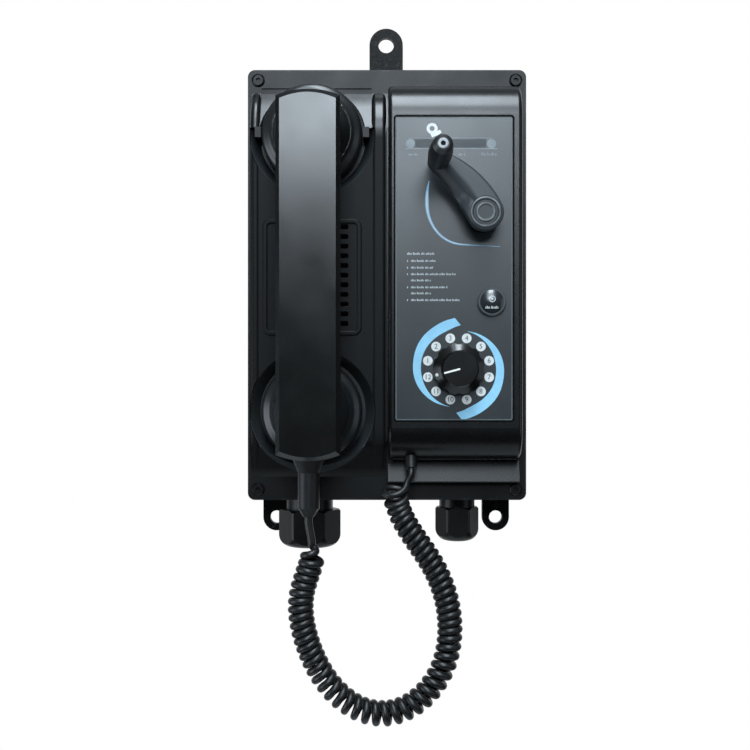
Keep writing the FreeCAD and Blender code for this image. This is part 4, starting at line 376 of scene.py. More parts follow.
def crank_cap_lacquer():
    """Grey lacquer on the turned cap over the hub, paler on its rim and on its raised ring as a painted
    highlight, broken into rubbed patches.
    """
    material, tree, place = new_material("crank_cap_lacquer")
    axis = add(tree, "Mapping", {0: place, 1: (-CRANK_X / 1000, 0, -CRANK_Z / 1000), 3: (1, 0, 1)})
    out = add(tree, "VectorMath", {0: axis}, operation="LENGTH").outputs["Value"]
    rim = add(tree, "MapRange", {0: out, 1: CAP_RIM_R[0] / 1000, 2: CAP_RIM_R[1] / 1000})
    beside = add(tree, "Math", {0: out, 1: CAP_RING_R / 1000}, operation="SUBTRACT")
    off_ring = add(tree, "Math", {0: beside}, operation="ABSOLUTE")
    half = [width / 1000 for width in CAP_RING_HALF_W]
    ring = add(tree, "MapRange", {0: off_ring, 1: half[0], 2: half[1], 3: 0.8, 4: 0.0})
    highlight_rings = add(tree, "Math", {0: rim, 1: ring}, operation="MAXIMUM")
    patches = add(tree, "TexNoise", {"Vector": place, "Scale": 1000 / 5.0, "Detail": 4.0})
    rubbed = add(tree, "MapRange", {0: patches, 1: 0.35, 2: 0.65, 3: 0.35, 4: 1.0})
    # Painted highlight: the rim and the raised ring are paler, broken into rubbed patches
    worn = add(tree, "Math", {0: highlight_rings, 1: rubbed}, operation="MULTIPLY")
    tint = add(tree, "Mix", {0: worn, 6: colour("#24292c"), 7: colour("#7d8386")}, data_type="RGBA")
    grain = add(tree, "TexNoise", {"Vector": place, "Scale": 1000 / 0.7, "Detail": 2.0})
    shader = add(tree, "BsdfPrincipled", {
        "Base Color": tint.outputs[2],
        "Roughness": add(tree, "MapRange", {0: worn, 3: 0.4, 4: 0.32}), "IOR": 1.5,
        "Normal": add(tree, "Bump", {"Strength": 0.6, "Distance": 0.00001, "Height": grain}),
    })
    add(tree, "OutputMaterial", {"Surface": shader})
    return material


def metal(name, base, dull, roughness, line_mm, along=2):
    """Turned or rolled metal: tool lines across one axis and dull clouds from handling. The lines are drawn
    six times as coarse as the real ones, which would be too fine to show."""
    material, tree, place = new_material(name)
    stretch = [1.0, 1.0, 1.0]
    stretch[along] = 12.0
    lines = add(tree, "Mapping", {0: place, 3: tuple(stretch)})
    tool = add(tree, "TexNoise", {"Vector": lines, "Scale": 1000 / (line_mm * 6), "Detail": 3.0})
    handling = add(tree, "TexNoise", {"Vector": place, "Scale": 1000 / 9.0, "Detail": 4.0})
    clouds = add(tree, "MapRange", {0: handling, 1: 0.4, 2: 0.7, 3: 0.0, 4: 1.0})
    tint = add(tree, "Mix", {0: clouds, 6: colour(base), 7: colour(dull)}, data_type="RGBA")
    shader = add(tree, "BsdfPrincipled", {
        "Base Color": tint.outputs[2], "Metallic": 1.0,
        "Roughness": add(tree, "MapRange", {0: clouds, 3: roughness, 4: roughness + 0.15}),
        "Normal": add(tree, "Bump", {"Strength": 0.4, "Distance": 0.00002, "Height": tool}),
    })
    add(tree, "OutputMaterial", {"Surface": shader})
    return material


def winding(name, base, dark, wire_mm):
    """Enamelled copper wire wound in layers: round turns with painted shade darkening the gaps between them,
    drawn some six times as coarse as the real wire, which would be too fine to show."""
    material, tree, place = new_material(name)
    turns = add(tree, "TexWave", {
        "Vector": place, "Scale": 1000 / wire_mm / 20, "Distortion": 0.6, "Detail Scale": 1.0,
    }, bands_direction="X").outputs[1]
    # Painted shade: the colour darkens towards the gaps between the turns
    tint = add(tree, "Mix", {0: turns, 6: colour(dark), 7: colour(base)}, data_type="RGBA")
    shader = add(tree, "BsdfPrincipled", {
        "Base Color": tint.outputs[2], "Metallic": 0.85, "Roughness": 0.32,
        "Normal": add(tree, "Bump", {"Strength": 0.8, "Distance": wire_mm / 4000, "Height": turns}),
    })
    add(tree, "OutputMaterial", {"Surface": shader})
    return material


def dress(finish, *names):
    """Gives these CAD nodes their finish."""
    for name in names:
        slots = nodes[name].material_slots
        for slot in slots:
            slot.material = finish
        if not slots:
            nodes[name].data.materials.append(finish)


# Making pieces
def put(piece, body, finish):
    """A finished piece gets its finish and its slot, and rides on its body."""
    piece.data.materials.clear()
    piece.data.materials.append(finish)
    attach(piece, body)
    return piece


def as_mesh(piece):
    """Turns a curve or text into a mesh, with nothing else selected."""
    bpy.ops.object.select_all(action="DESELECT")
    piece.select_set(True)
    bpy.context.view_layer.objects.active = piece
    bpy.ops.object.convert(target="MESH")
    return bpy.context.view_layer.objects.active


def onto_plate(piece, x, z, lift=INK):
    """Stands a flat piece up against the plate, with its own middle at x and z."""
    upright = Matrix.Rotation(math.radians(90), 4, "X")
    piece.data.transform(Matrix.Translation(at(x, PLATE_D + lift, z)) @ upright)
    piece.matrix_world = Matrix.Identity(4)
    return piece


def print_outline(name, loops, x=0.0, z=0.0, lift=INK):
    """A printed shape with these outlines, each a list of (x, z) in millimetres; inner ones are holes."""
    flat = bpy.data.curves.new(name, "CURVE")
    flat.dimensions = "2D"
    flat.fill_mode = "BOTH"
    for loop in loops:
        spline = flat.splines.new("POLY")
        spline.points.add(len(loop) - 1)
        for point, (px, pz) in zip(spline.points, loop):
            point.co = (px / 1000, pz / 1000, 0, 1)
        spline.use_cyclic_u = True
    piece = bpy.data.objects.new(name, flat)
    bpy.context.collection.objects.link(piece)
    return onto_plate(as_mesh(piece), x, z, lift)


def circle(r, count=48, x=0.0, z=0.0):
    """A ring of so many (x, z) places."""
    turns = [2 * math.pi * k / count for k in range(count)]
    return [(x + r * math.cos(a), z + r * math.sin(a)) for a in turns]


def evened(points, parts=5):
    """More points between these ones, on an even curve through them."""
    out = []
    for k in range(len(points) - 1):
        four = points[max(0, k - 1)], points[k], points[k + 1], points[min(len(points) - 1, k + 2)]
        for n in range(parts):
            t = n / parts
            out.append(tuple(
                b + ((c - a) * t + (2 * a - 5 * b + 4 * c - d) * t**2 + (3 * b - a - 3 * c + d) * t**3) / 2
                for a, b, c, d in zip(*four)
            ))
    return out + [points[-1]]


def turned_to(points, more):
    """Places from angles and radii, all turned by so many degrees more."""
    out = []
    for angle, r in points:
        a = math.radians(angle + more)
        out.append((r * math.cos(a), r * math.sin(a)))
    return out


def stroke(line, share=1.0):
    """The outline of a pen stroke along these (x, z, half width) places."""
    line = evened(line)
    left, right = [], []
    for k, (x, z, half) in enumerate(line):
        x0, z0, _ = line[max(0, k - 1)]
        x1, z1, _ = line[min(len(line) - 1, k + 1)]
        length = math.hypot(x1 - x0, z1 - z0)
        out_x = (z0 - z1) / length * half * share
        out_z = (x1 - x0) / length * half * share
        left.append((x + out_x, z + out_z))
        right.append((x - out_x, z - out_z))
    return left + right[::-1]


def box_outline(x0, z0, x1, z1, r=0.0, count=6):
    """A rectangle with rounded corners."""
    if not r:
        return [(x0, z0), (x1, z0), (x1, z1), (x0, z1)]
    out = []
    corners = (x1 - r, z0 + r), (x1 - r, z1 - r), (x0 + r, z1 - r), (x0 + r, z0 + r)
    for quarter, (cx, cz) in enumerate(corners):
        for k in range(count + 1):
            a = math.radians(90 * (quarter - 1 + k / count))
            out.append((cx + r * math.cos(a), cz + r * math.sin(a)))
    return out


def greeked(x0, x1, z, height=1.0):
    """Small marks in word-like groups along a line. They stand for lettering and spell nothing."""
    marks = []
    x = x0
    group = 0
    left = MARK_GROUPS[0]
    while x + MARK_W <= x1:
        k = len(marks)
        wider = MARK_WIDER if k % 3 == 1 else 0
        marks.append(box_outline(x, z, x + MARK_W + wider, z + height * MARK_HEIGHTS[k % len(MARK_HEIGHTS)]))
        x += MARK_STEP
        left -= 1
        if left == 0:
            group += 1
            left = MARK_GROUPS[group % len(MARK_GROUPS)]
            x += MARK_GAP
    return marks


# Curly cord
def smooth_line(name, points, resolution):
    """A NURBS line with these control points, as a curve's data."""
    data = bpy.data.curves.new(name, "CURVE")
    data.dimensions = "3D"
    data.resolution_u = resolution
    spline = data.splines.new("NURBS")
    spline.points.add(len(points) - 1)
    for point, place in zip(spline.points, points):
        point.co = (*place, 1)
    spline.order_u = 3
    spline.use_endpoint_u = True
    return data


def read_line(data):
    """The points along a curve, as Blender works them out."""
    guide = bpy.data.objects.new("guide", data)
    bpy.context.collection.objects.link(guide)
    bpy.context.view_layer.update()
    mesh = bpy.data.meshes.new_from_object(guide)
    points = [v.co.copy() for v in mesh.vertices]
    bpy.data.objects.remove(guide)
    return points


def along_line(points):
    """The distance from the line's start to each of its points."""
    reached = [0.0]
    for before, after in zip(points, points[1:]):
        reached.append(reached[-1] + (after - before).length)
    return reached


def line_frame(points, reached, share):
    """The place and the direction at a share of a line's length."""
    goal = reached[-1] * share
    k = 1
    while k < len(points) - 1 and reached[k] < goal:
        k += 1
    part = (goal - reached[k - 1]) / (reached[k] - reached[k - 1])
    place = points[k - 1].lerp(points[k], part)
    before = points[max(0, k - 2)]
    after = points[min(len(points) - 1, k + 1)]
    return place, (after - before).normalized()


def curl_pitch(turn):
    """How far a curl reaches along the route: closed up near the top, open where the cord hangs lowest, and
    drawn out where the wire leaves the coil."""
    drawn = max(0.0, 1 - turn / CURL_EASE) + max(0.0, 1 - (CURLS - turn) / CURL_EASE)
    going_down = min(1.0, max(0.0, (turn - OPEN_FROM) / OPEN_EASE))
    coming_up = min(1.0, max(0.0, (OPEN_TO - turn) / OPEN_EASE))
    return 1 + CURL_STRETCH * drawn + OPEN_MORE * min(going_down, coming_up)


def curl_places():
    """Places along the curls, from the first one under the grommet to the last one at the boot."""
    route = read_line(smooth_line("cord_route", [at(*place) for place in CORD_ROUTE], 32))
    reached = along_line(route)
    forward = Vector((0, -1, 0))
    count = CURLS * POINTS_A_TURN
    wound = [0.0]
    for k in range(count):
        wound.append(wound[-1] + curl_pitch((k + 0.5) / POINTS_A_TURN))
    curls = []
    for k in range(count + 1):
        turn = k / POINTS_A_TURN
        centre, way = line_frame(route, reached, wound[k] / wound[-1])
        side = way.cross(forward).normalized()
        front = side.cross(way).normalized()
        lean = math.radians(FIRST_LEAN) * max(0.0, 1 - turn / LEAN_TURNS)
        front = front * math.cos(lean) + way * math.sin(lean)
        grow = min(1.0, (CURLS - turn) / CURL_CLOSE)
        wide = CURL_R + FIRST_CURL_MORE * max(0.0, 1 - turn / FIRST_CURL_TURNS)
        r = wide / 1000 * (1 - math.cos(math.pi * grow)) / 2
        a = math.pi - 2 * math.pi * turn
        curls.append(centre + side * (r * math.cos(a)) + front * (r * math.sin(a)))
    return curls


def curly_cord(finish):
    """One wire from the grommet, through all its curls, to the boot."""
    curls = curl_places()
    start, end = at(*GROMMET_TIP), at(*BOOT_END)
    out = at(*GROMMET_WAY) * CORD_TAIL
    up = Vector((0, 0, CORD_TAIL / 1000))
    before_curls = [start - out / 3, start, start + out]
    points = before_curls + curls + [end - up, end, end + up / 3]
    path = read_line(smooth_line("cord_path", points, 3))
    wire = smooth_line("curly_wire", points, 3)
    for k, point in enumerate(wire.splines[0].points):
        turn = max(0.0, (k - len(before_curls)) / POINTS_A_TURN)
        point.radius = LEAD_SHARE + (1 - LEAD_SHARE) * min(1.0, turn / LEAD_TURNS)
    wire.bevel_depth = WIRE_R / 1000
    wire.bevel_resolution = 4
    wire.use_fill_caps = True
    cord = bpy.data.objects.new("curly_wire", wire)
    bpy.context.collection.objects.link(cord)
    cord = as_mesh(cord)
    bpy.ops.object.shade_smooth()
    cord.data.materials.clear()
    cord.data.materials.append(finish)
    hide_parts("curly_cord")
    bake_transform(cord)


# Handset and crank arm
def skin(name, rings):
    """A closed solid through rings of (x, depth, z) places: a disc that is extruded again and again, each
    time with its new edge drawn out to the next ring."""
    bpy.ops.object.select_all(action="DESELECT")
    bpy.ops.mesh.primitive_circle_add(vertices=len(rings[0]), radius=0.01, fill_type="NGON")
    piece = bpy.context.object
    for point, place in zip(piece.data.vertices, rings[0]):
        point.co = at(*place)
    bpy.ops.object.mode_set(mode="EDIT")
    bpy.ops.mesh.select_mode(type="FACE")
    bpy.ops.mesh.select_all(action="SELECT")
    bpy.ops.object.mode_set(mode="OBJECT")
    for last, ring in zip(rings, rings[1:]):
        bpy.ops.object.mode_set(mode="EDIT")
        bpy.ops.mesh.extrude_region_move()
        bpy.ops.object.mode_set(mode="OBJECT")
        moved = [point for point in piece.data.vertices if point.select]
        for old, place in zip(last, ring):
            here = at(*old)
            point = min(moved, key=lambda one: (one.co - here).length_squared)
            moved.remove(point)
            point.co = at(*place)
    bpy.ops.object.mode_set(mode="EDIT")
    bpy.ops.mesh.select_all(action="SELECT")
    bpy.ops.mesh.normals_make_consistent(inside=False)
    bpy.ops.object.mode_set(mode="OBJECT")
    piece.name = name
    return piece


def joined(pieces, sharp):
    """One smooth piece of all these, with edges left sharp past so many degrees."""
    bpy.ops.object.select_all(action="DESELECT")
    for piece in pieces:
        piece.select_set(True)
    bpy.context.view_layer.objects.active = pieces[0]
    bpy.ops.object.join()
    bpy.ops.object.shade_smooth_by_angle(angle=math.radians(sharp))
    return pieces[0]


def bar_outline(inset, count=16):
    """The handle's bar from the front, with arched ends, drawn in by an inset."""
    half = HANDLE_W / 2 - inset
    out = []
    for side, tip in ((1, HANDLE_TOP - inset), (-1, HANDLE_FOOT + inset)):
        for k in range(count + 1):
            x = half * (1 - 2 * k / count)
            out.append((HANDSET_X + side * x, tip - side * HANDLE_ARCH * (x / half) ** 2))
    return out


def handset_shell(finish, satin):
    """The handset from outside: the bar with its bevelled front rim, and two heads whose shoulders are rolled
    round where the caps screw on, which gives each a soft bright crescent."""
    steps = [(inset, HANDLE_BACK_D + more) for inset, more in HANDLE_BACK_ROLL]
    steps += [(0.0, HANDLE_FRONT_D - HANDLE_CHAMFER), (HANDLE_CHAMFER, HANDLE_FRONT_D)]
    bar = skin("handset_shell", [[(x, d, z) for x, z in bar_outline(inset)] for inset, d in steps])
    bar.data.materials.append(finish)
    pieces = [bar]
    for name, z0 in (("ear_head", EAR_Z), ("mouth_head", MOUTH_Z)):
        rings = [[(x, d, z) for x, z in circle(r, HEAD_SIDES, HANDSET_X, z0)] for r, d in HEAD_PROFILE]
        head = skin(name, rings)
        head.data.materials.append(satin)
        pieces.append(head)
    shell = joined(pieces, 32)
    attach(shell, "handset")
    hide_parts("handset_handle")


def arm_arc(centre, r, first, last, count):
    """Places on an arc, without its last one."""
    return [
        (centre[0] + r * math.cos(first + (last - first) * k / count),
         centre[1] + r * math.sin(first + (last - first) * k / count))
        for k in range(count)
    ]


def arm_places():
    """The arm's outline, along the arm and across it: round hub, bulged upper edge, round tip, hollowed
    lower edge, each arc touching the next."""
    centres = []
    for bend_r, hub_r, tip_r in ((ARM_BULGE_R, ARM_HUB_R, ARM_TIP_R), (ARM_HOLLOW_R, -ARM_HUB_R, -ARM_TIP_R)):
        to_hub, to_tip = bend_r - hub_r, bend_r - tip_r
        u = (to_hub**2 - to_tip**2 + ARM_L**2) / (2 * ARM_L)
        centres.append((u, -math.sqrt(to_hub**2 - u**2)))
    (bu, bv), (hu, hv) = centres
    bulge_hub, bulge_tip = math.atan2(-bv, -bu), math.atan2(-bv, ARM_L - bu)
    hollow_hub, hollow_tip = math.atan2(-hv, -hu), math.atan2(-hv, ARM_L - hu)
    return (
        arm_arc((bu, bv), ARM_BULGE_R, bulge_hub, bulge_tip, 24)
        + arm_arc((ARM_L, 0), ARM_TIP_R, bulge_tip, hollow_tip - math.pi, 20)
        + arm_arc((hu, hv), ARM_HOLLOW_R, hollow_tip, hollow_hub, 24)
        + arm_arc((0, 0), ARM_HUB_R, hollow_hub - math.pi, bulge_hub - 2 * math.pi, 36)
    )


def arm_ring(inset, d, crown, to_spine=0.0):
    """The arm's outline drawn in by an inset, or towards its spine by a share, at a depth that falls away to
    the lower edge where it is crowned."""
    turn = math.radians(ARM_ANGLE)
    outline = arm_places()
    places = []
    for k, (u, v) in enumerate(outline):
        u0, v0 = outline[k - 1]
        u1, v1 = outline[(k + 1) % len(outline)]
        length = math.hypot(u1 - u0, v1 - v0)
        u += (v1 - v0) / length * inset
        v += (u0 - u1) / length * inset
        u += (min(ARM_L, max(0.0, u)) - u) * to_spine
        v -= v * to_spine
        free = min(1.0, max(0.0, (math.hypot(u, v) - ARM_HUB_R - FALL_FROM_HUB) / FALL_RUN))
        fall = crown * free * ARM_FALL * min(1.0, max(0.0, (FALL_FROM_V - v) / FALL_WIDTH)) ** FALL_POWER
        x = CRANK_X + u * math.cos(turn) + v * math.sin(turn)
        z = CRANK_Z + u * math.sin(turn) - v * math.cos(turn)
        places.append((x, d - fall, z))
    return places


def crank_arm_shell(finish):
    """The cast arm. Its front is crowned: level along the upper edge and round the hub, and falling away to
    the lower edge, which therefore lies in shade."""
    steps = [(ARM_BACK_EDGE, ARM_BACK_D, 0), (0.0, ARM_BACK_D + ARM_BACK_EDGE, 0)]
    for k in range(ARM_EDGE_STEPS + 1):
        a = math.radians(90 * k / ARM_EDGE_STEPS)
        steps.append((ARM_EDGE_R * (1 - math.cos(a)), ARM_FRONT_D - ARM_EDGE_R * (1 - math.sin(a)), 1))
    steps += [(ARM_EDGE_R, ARM_FRONT_D, 1, k / SPINE_STEPS) for k in range(1, SPINE_STEPS)]
    shell = skin("crank_arm_shell", [arm_ring(*step) for step in steps])

    bpy.ops.object.select_all(action="DESELECT")
    bpy.ops.mesh.primitive_cylinder_add(
        vertices=96, radius=HUB_POCKET_R / 1000, depth=HUB_CUTTER_H / 1000,
        location=at(CRANK_X, HUB_POCKET_D + HUB_CUTTER_H / 2, CRANK_Z), rotation=(math.radians(90), 0, 0))
    cutter = bpy.context.object
    bpy.ops.object.transform_apply(location=True, rotation=True, scale=True)
    bpy.ops.object.select_all(action="DESELECT")
    shell.select_set(True)
    bpy.context.view_layer.objects.active = shell
    pocket = shell.modifiers.new("pocket", "BOOLEAN")
    pocket.object = cutter
    pocket.operation = "DIFFERENCE"
    bpy.ops.object.modifier_apply(modifier="pocket")
    bpy.data.objects.remove(cutter)
    shell = joined([shell], 40)
    put(shell, "crank", finish)
    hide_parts("crank_arm")


# Grip screw
def pick_faces(piece, wanted):
    """Selects, for editing, only the faces whose middle and normal are wanted."""
    bpy.ops.object.mode_set(mode="EDIT")
    bpy.ops.mesh.select_mode(type="FACE")
    bpy.ops.mesh.select_all(action="DESELECT")
    bpy.ops.object.mode_set(mode="OBJECT")
    for face in piece.data.polygons:
        face.select = wanted(face.center, face.normal)
    bpy.ops.object.mode_set(mode="EDIT")


def grip_rod(r, back, front, sides):
    """A plain rod on the grip's axis, between two depths."""
    bpy.ops.object.select_all(action="DESELECT")
    bpy.ops.mesh.primitive_cylinder_add(
        vertices=sides, radius=r / 1000, depth=(front - back) / 1000,
        location=at(GRIP_X, (front + back) / 2, GRIP_Z), rotation=(math.radians(90), 0, 0))
    bpy.ops.object.transform_apply(location=True, rotation=True, scale=True)
    return bpy.context.object


def grip_screw(finish, socket_shade):
    """The screw that holds the grip on its pin: a round head with a bevelled edge, and a socket whose inner
    faces are painted near black as painted shade."""
    head = grip_rod(GRIP_HEAD_R, GRIP_SCREW_SEAT, GRIP_SCREW_FRONT, 48)
    pick_faces(head, lambda middle, normal: normal.y < -0.9)
    bpy.ops.mesh.bevel(offset=GRIP_HEAD_EDGE / 1000, segments=3, affect="EDGES")
    pick_faces(head, lambda middle, normal: normal.y < -0.999)
    for thickness, sunk in ((SOCKET_RIM_W, 0), (SOCKET_EDGE_W, SOCKET_EDGE_H), (SOCKET_WALL_W, SOCKET_H)):
        bpy.ops.mesh.inset(thickness=thickness / 1000, depth=-sunk / 1000)
    bpy.ops.object.mode_set(mode="OBJECT")
    head.data.materials.append(finish)
    head.data.materials.append(socket_shade)
    # Painted shade: the faces inside the socket take the near-black finish
    for face in head.data.polygons:
        if math.hypot(face.center.x - GRIP_X / 1000, face.center.z - GRIP_Z / 1000) < SOCKET_R / 1000:
            face.material_index = 1
    shank = grip_rod(GRIP_SHANK_R, GRIP_SCREW_BACK, GRIP_SCREW_SEAT, 32)
    pick_faces(shank, lambda middle, normal: normal.y > 0.9)
    bpy.ops.mesh.bevel(offset=GRIP_SHANK_EDGE / 1000, segments=2, affect="EDGES")
    bpy.ops.object.mode_set(mode="OBJECT")
    screw = joined([head, shank], 35)
    screw.name = "socket_screw"
    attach(screw, "grip")
    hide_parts("grip_screw")


# Print on the plate and the button, with places in (x, z)

# Round the selector: the numbered dots, and the sweep on the left in (angle, radius)
DOT_RING_R, DOT_R, NUMBER_H = 18.4, 2.8, 4.0
DOT_START, DOT_STEP = 195, 30
SWEEP_OUTER = [
    (94, 29.6), (120, 28.3), (144, 27.7), (168, 26.7), (188, 26.2), (205, 25.5), (222, 24.5), (240, 23.4),
    (257, 22.4),
]
SWEEP_INNER = [
    (87, 25.4), (107, 23.0), (130, 22.4), (156, 22.2), (179, 21.8), (197, 21.7), (217, 21.9), (237, 22.2),
    (256, 22.3),
]

# The stroke beside the crank as (x, z, half its width), its lighter core's share of that, and the sign above
CRANK_STROKE = [
    (24.1, 58.5, 0.15), (23.1, 52.5, 0.75), (22.85, 46.9, 1.05), (23.2, 41.5, 1.0), (24.6, 36.2, 0.85),
    (27.1, 31.3, 0.75), (30.5, 27.2, 0.7), (35.0, 24.0, 0.62), (40.3, 22.1, 0.55), (47.0, 21.4, 0.42),
    (56.0, 20.9, 0.2), (65.3, 20.4, 0.1),
]
CORE_SHARE = 0.42
SIGN_AT, SIGN_R, SIGN_HOLE_R = (25.9, 88.9), 3.2, 1.45
SIGN_BAR = [(25.4, 84.7, 1.1), (28.2, 86.0, 1.3), (31.0, 87.3, 0.9)]

# The film's rim as (inset, corner radius): a painted shadow in its groove, and a painted highlight on its
# pale cut edge
GROOVE_EDGES = ((0.05, 2.0), (1.05, 1.0))
FILM_EDGES = ((1.15, 1.0), (1.7, 0.6))

# The speed scale under the crank's grip, as (x0, z0, x1, z1), and its marks as (x0, x1, height)
SCALE_BAND = (16.0, 77.9, 57.2, 82.7)
SCALE_LINES = [(10.2, 76.9, 63.6, 77.45), (12.0, 83.2, 61.5, 83.5)]
SCALE_SLOW_X, SCALE_FAST_X, SCALE_DISC_Z, SCALE_DISC_R = 13.3, 60.3, 80.1, 2.7
SCALE_MARKS_Z = 73.2
SCALE_MARKS = [(12.2, 17.6, 1.4), (41.2, 45.6, 1.3), (54.4, 63.6, 1.9)]

# The notes: a title, then lines as (x1, z, whether numbered)
TITLE_X0, TITLE_X1, TITLE_Z, TITLE_H = 11.4, 27.6, 15.7, 1.4
NOTE_NUMBER_X, NOTE_NUMBER_W, NOTE_NUMBER_H = 11.4, 0.5, 1.0
NOTE_X, NOTE_H = 13.7, 1.25
NOTE_LINES = [
    (28.3, 11.6, True), (26.6, 7.7, True), (40.0, 3.9, True), (25.4, 0.3, False), (35.2, -3.7, True),
    (25.4, -7.2, False), (41.6, -11.1, True),
]

# The call button's sign, over its middle, and the marks under it from left to right
BELL_UP, BELL_R, BELL_HOLE_R, BELL_DOT_R = 1.5, 1.9, 1.45, 0.6
BUTTON_MARKS_X, BUTTON_MARKS_Z, BUTTON_MARKS_H = (-3.9, 4.2), -4.1, 1.5

# Greeked lettering: a mark's width, each third one's extra, the steps, and the rhythm of heights and words
MARK_W, MARK_WIDER, MARK_STEP, MARK_GAP = 0.42, 0.12, 0.72, 0.5
MARK_HEIGHTS = (0.75, 1.0, 0.7, 0.72, 1.0, 0.74, 0.7)
MARK_GROUPS = (4, 6, 3, 7, 5)


def print_on_plate(name, loops, finish, x=0.0, z=0.0, lift=INK):
    """Prints a shape on the plate."""
    put(print_outline(name, loops, x, z, lift), "housing", finish)


def dial_print(blue, white, dark):
    """Twelve numbered dots round the selector, and two tapering sweeps, half a turn apart."""
    for name, more in (("sweep_left", 0), ("sweep_right", 180)):
        shape = turned_to(evened(SWEEP_OUTER), more) + turned_to(evened(SWEEP_INNER), more)[::-1]
        print_on_plate(name, [shape], blue, DIAL_X, DIAL_Z)
    for number in range(1, 13):
        a = math.radians(DOT_START - DOT_STEP * number)
        x = DIAL_X + DOT_RING_R * math.cos(a)
        z = DIAL_Z + DOT_RING_R * math.sin(a)
        print_on_plate("dot_%d" % number, [circle(DOT_R)], white, x, z)
        bpy.ops.object.select_all(action="DESELECT")
        bpy.ops.object.text_add()
        text = bpy.context.object
        text.data.body = str(number)
        text.data.size = NUMBER_H / 1000
        text.data.align_x = "CENTER"
        text.data.align_y = "CENTER"
        text.name = "number_%d" % number
        put(onto_plate(as_mesh(text), x, z, 2 * INK), "housing", dark)


def crank_print(pale, core, white):
    """The stroke that shows which way the crank turns, with a lighter core, and the crank's sign above it."""
    print_on_plate("crank_stroke", [stroke(CRANK_STROKE)], pale)
    print_on_plate("crank_stroke_core", [stroke(CRANK_STROKE[1:-2], CORE_SHARE)], core, lift=2 * INK)
    print_on_plate("crank_sign", [circle(r, 48, *SIGN_AT) for r in (SIGN_R, SIGN_HOLE_R)], white)
    print_on_plate("crank_sign_bar", [stroke(SIGN_BAR)], white, lift=2 * INK)


def plate_outline(inset, r):
    """The plate's outline, drawn in by an inset, with its corners' radius."""
    half_w, half_h = PLATE_W / 2 - inset, PLATE_H / 2 - inset
    return box_outline(PLATE_X - half_w, PLATE_Z - half_h, PLATE_X + half_w, PLATE_Z + half_h, r)


def plate_print(groove_shadow, edge, faint, shade, pale):
    """A painted shadow in the film's groove, a painted highlight on its pale cut edge, the speed scale under
    the crank's grip, and the greeked notes.
    """
    print_on_plate("groove_shadow_print", [plate_outline(*step) for step in GROOVE_EDGES], groove_shadow)
    print_on_plate("film_edge_highlight", [plate_outline(*step) for step in FILM_EDGES], edge)
    print_on_plate("scale_band", [box_outline(*SCALE_BAND)], shade)
    print_on_plate("scale_lines", [box_outline(*line) for line in SCALE_LINES], faint, lift=2 * INK)
    for name, x in (("scale_disc_slow", SCALE_SLOW_X), ("scale_disc_fast", SCALE_FAST_X)):
        print_on_plate(name, [circle(SCALE_DISC_R)], faint, x, SCALE_DISC_Z)
    marks = []
    for x0, x1, height in SCALE_MARKS:
        marks += greeked(x0, x1, SCALE_MARKS_Z, height)
    print_on_plate("scale_marks", marks, faint)
    notes = greeked(TITLE_X0, TITLE_X1, TITLE_Z, TITLE_H)
    for x1, z, numbered in NOTE_LINES:
        if numbered:
            right = NOTE_NUMBER_X + NOTE_NUMBER_W
            notes.append(box_outline(NOTE_NUMBER_X, z, right, z + NOTE_NUMBER_H))
        notes += greeked(NOTE_X, x1, z, NOTE_H)
    print_on_plate("notes", notes, pale)


def print_on_button(name, loops, finish):
    """Prints a shape on the call button, and presses it onto the button's dome."""
    piece = print_outline(name, loops)
    for point in piece.data.vertices:
        out = math.hypot(point.co.x - BUTTON_X / 1000, point.co.z - BUTTON_Z / 1000)
        sunk = DOME_R / 1000 - math.sqrt((DOME_R / 1000) ** 2 - out**2)
        point.co.y = -(BUTTON_D + INK) / 1000 + sunk
    put(piece, "button", finish)


def button_print(pale, white):
    """A bell-push sign on the call button, a ring with a dot, and a row of marks under it."""
    bell_z = BUTTON_Z + BELL_UP
    ring = [circle(r, x=BUTTON_X, z=bell_z) for r in (BELL_R, BELL_HOLE_R)]
    print_on_button("button_ring", ring, pale)
    print_on_button("button_dot", [circle(BELL_DOT_R, 24, BUTTON_X, bell_z)], pale)
    left, right = [BUTTON_X + x for x in BUTTON_MARKS_X]
    print_on_button("button_marks", greeked(left, right, BUTTON_Z + BUTTON_MARKS_Z, BUTTON_MARKS_H), white)


# Light: softboxes in metres and watts, as name, place, where it aims, width, height and power
DAYLIGHT = "#e8f5ff"
SOFTBOXES = [
    ("front_softbox", (0.0, -2.144, 0.658), (0, -0.1, 0.06), 0.9, 0.45, 16.5),
    ("brow_softbox", (0.0, -1.71, 1.07), (0, -0.1, 0.06), 0.9, 0.67, 10.4),
    ("key_softbox", (0.05, -0.88, 1.45), (0, -0.07, 0.1), 0.55, 1.09, 31),
    ("left_softbox", (-1.35, -0.75, -0.35), (0, -0.08, 0.0), 0.7, 0.9, 6.5),
    ("left_strip", (-1.5, -0.3, -0.45), (0, -0.08, 0.0), 0.3, 1.2, 4),
    ("right_softbox", (1.3, -0.8, -0.15), (0, -0.08, 0.0), 0.6, 1.0, 1.6),
]
FLOOR_W, FLOOR_AT = 1.5, (0, 0.05, -1.2)


def softbox(name, place, aim, width, height, power):
    """A soft rectangular lamp that the camera doesn't see."""
    data = bpy.data.lights.new(name, "AREA")
    data.shape = "RECTANGLE"
    data.size, data.size_y = width, height
    data.energy = power
    data.color = colour(DAYLIGHT)[:3]
    lamp = bpy.data.objects.new(name, data)
    lamp.location = place
    lamp.rotation_euler = (Vector(aim) - Vector(place)).to_track_quat("-Z", "Y").to_euler()
    lamp.visible_camera = False
    bpy.context.collection.objects.link(lamp)


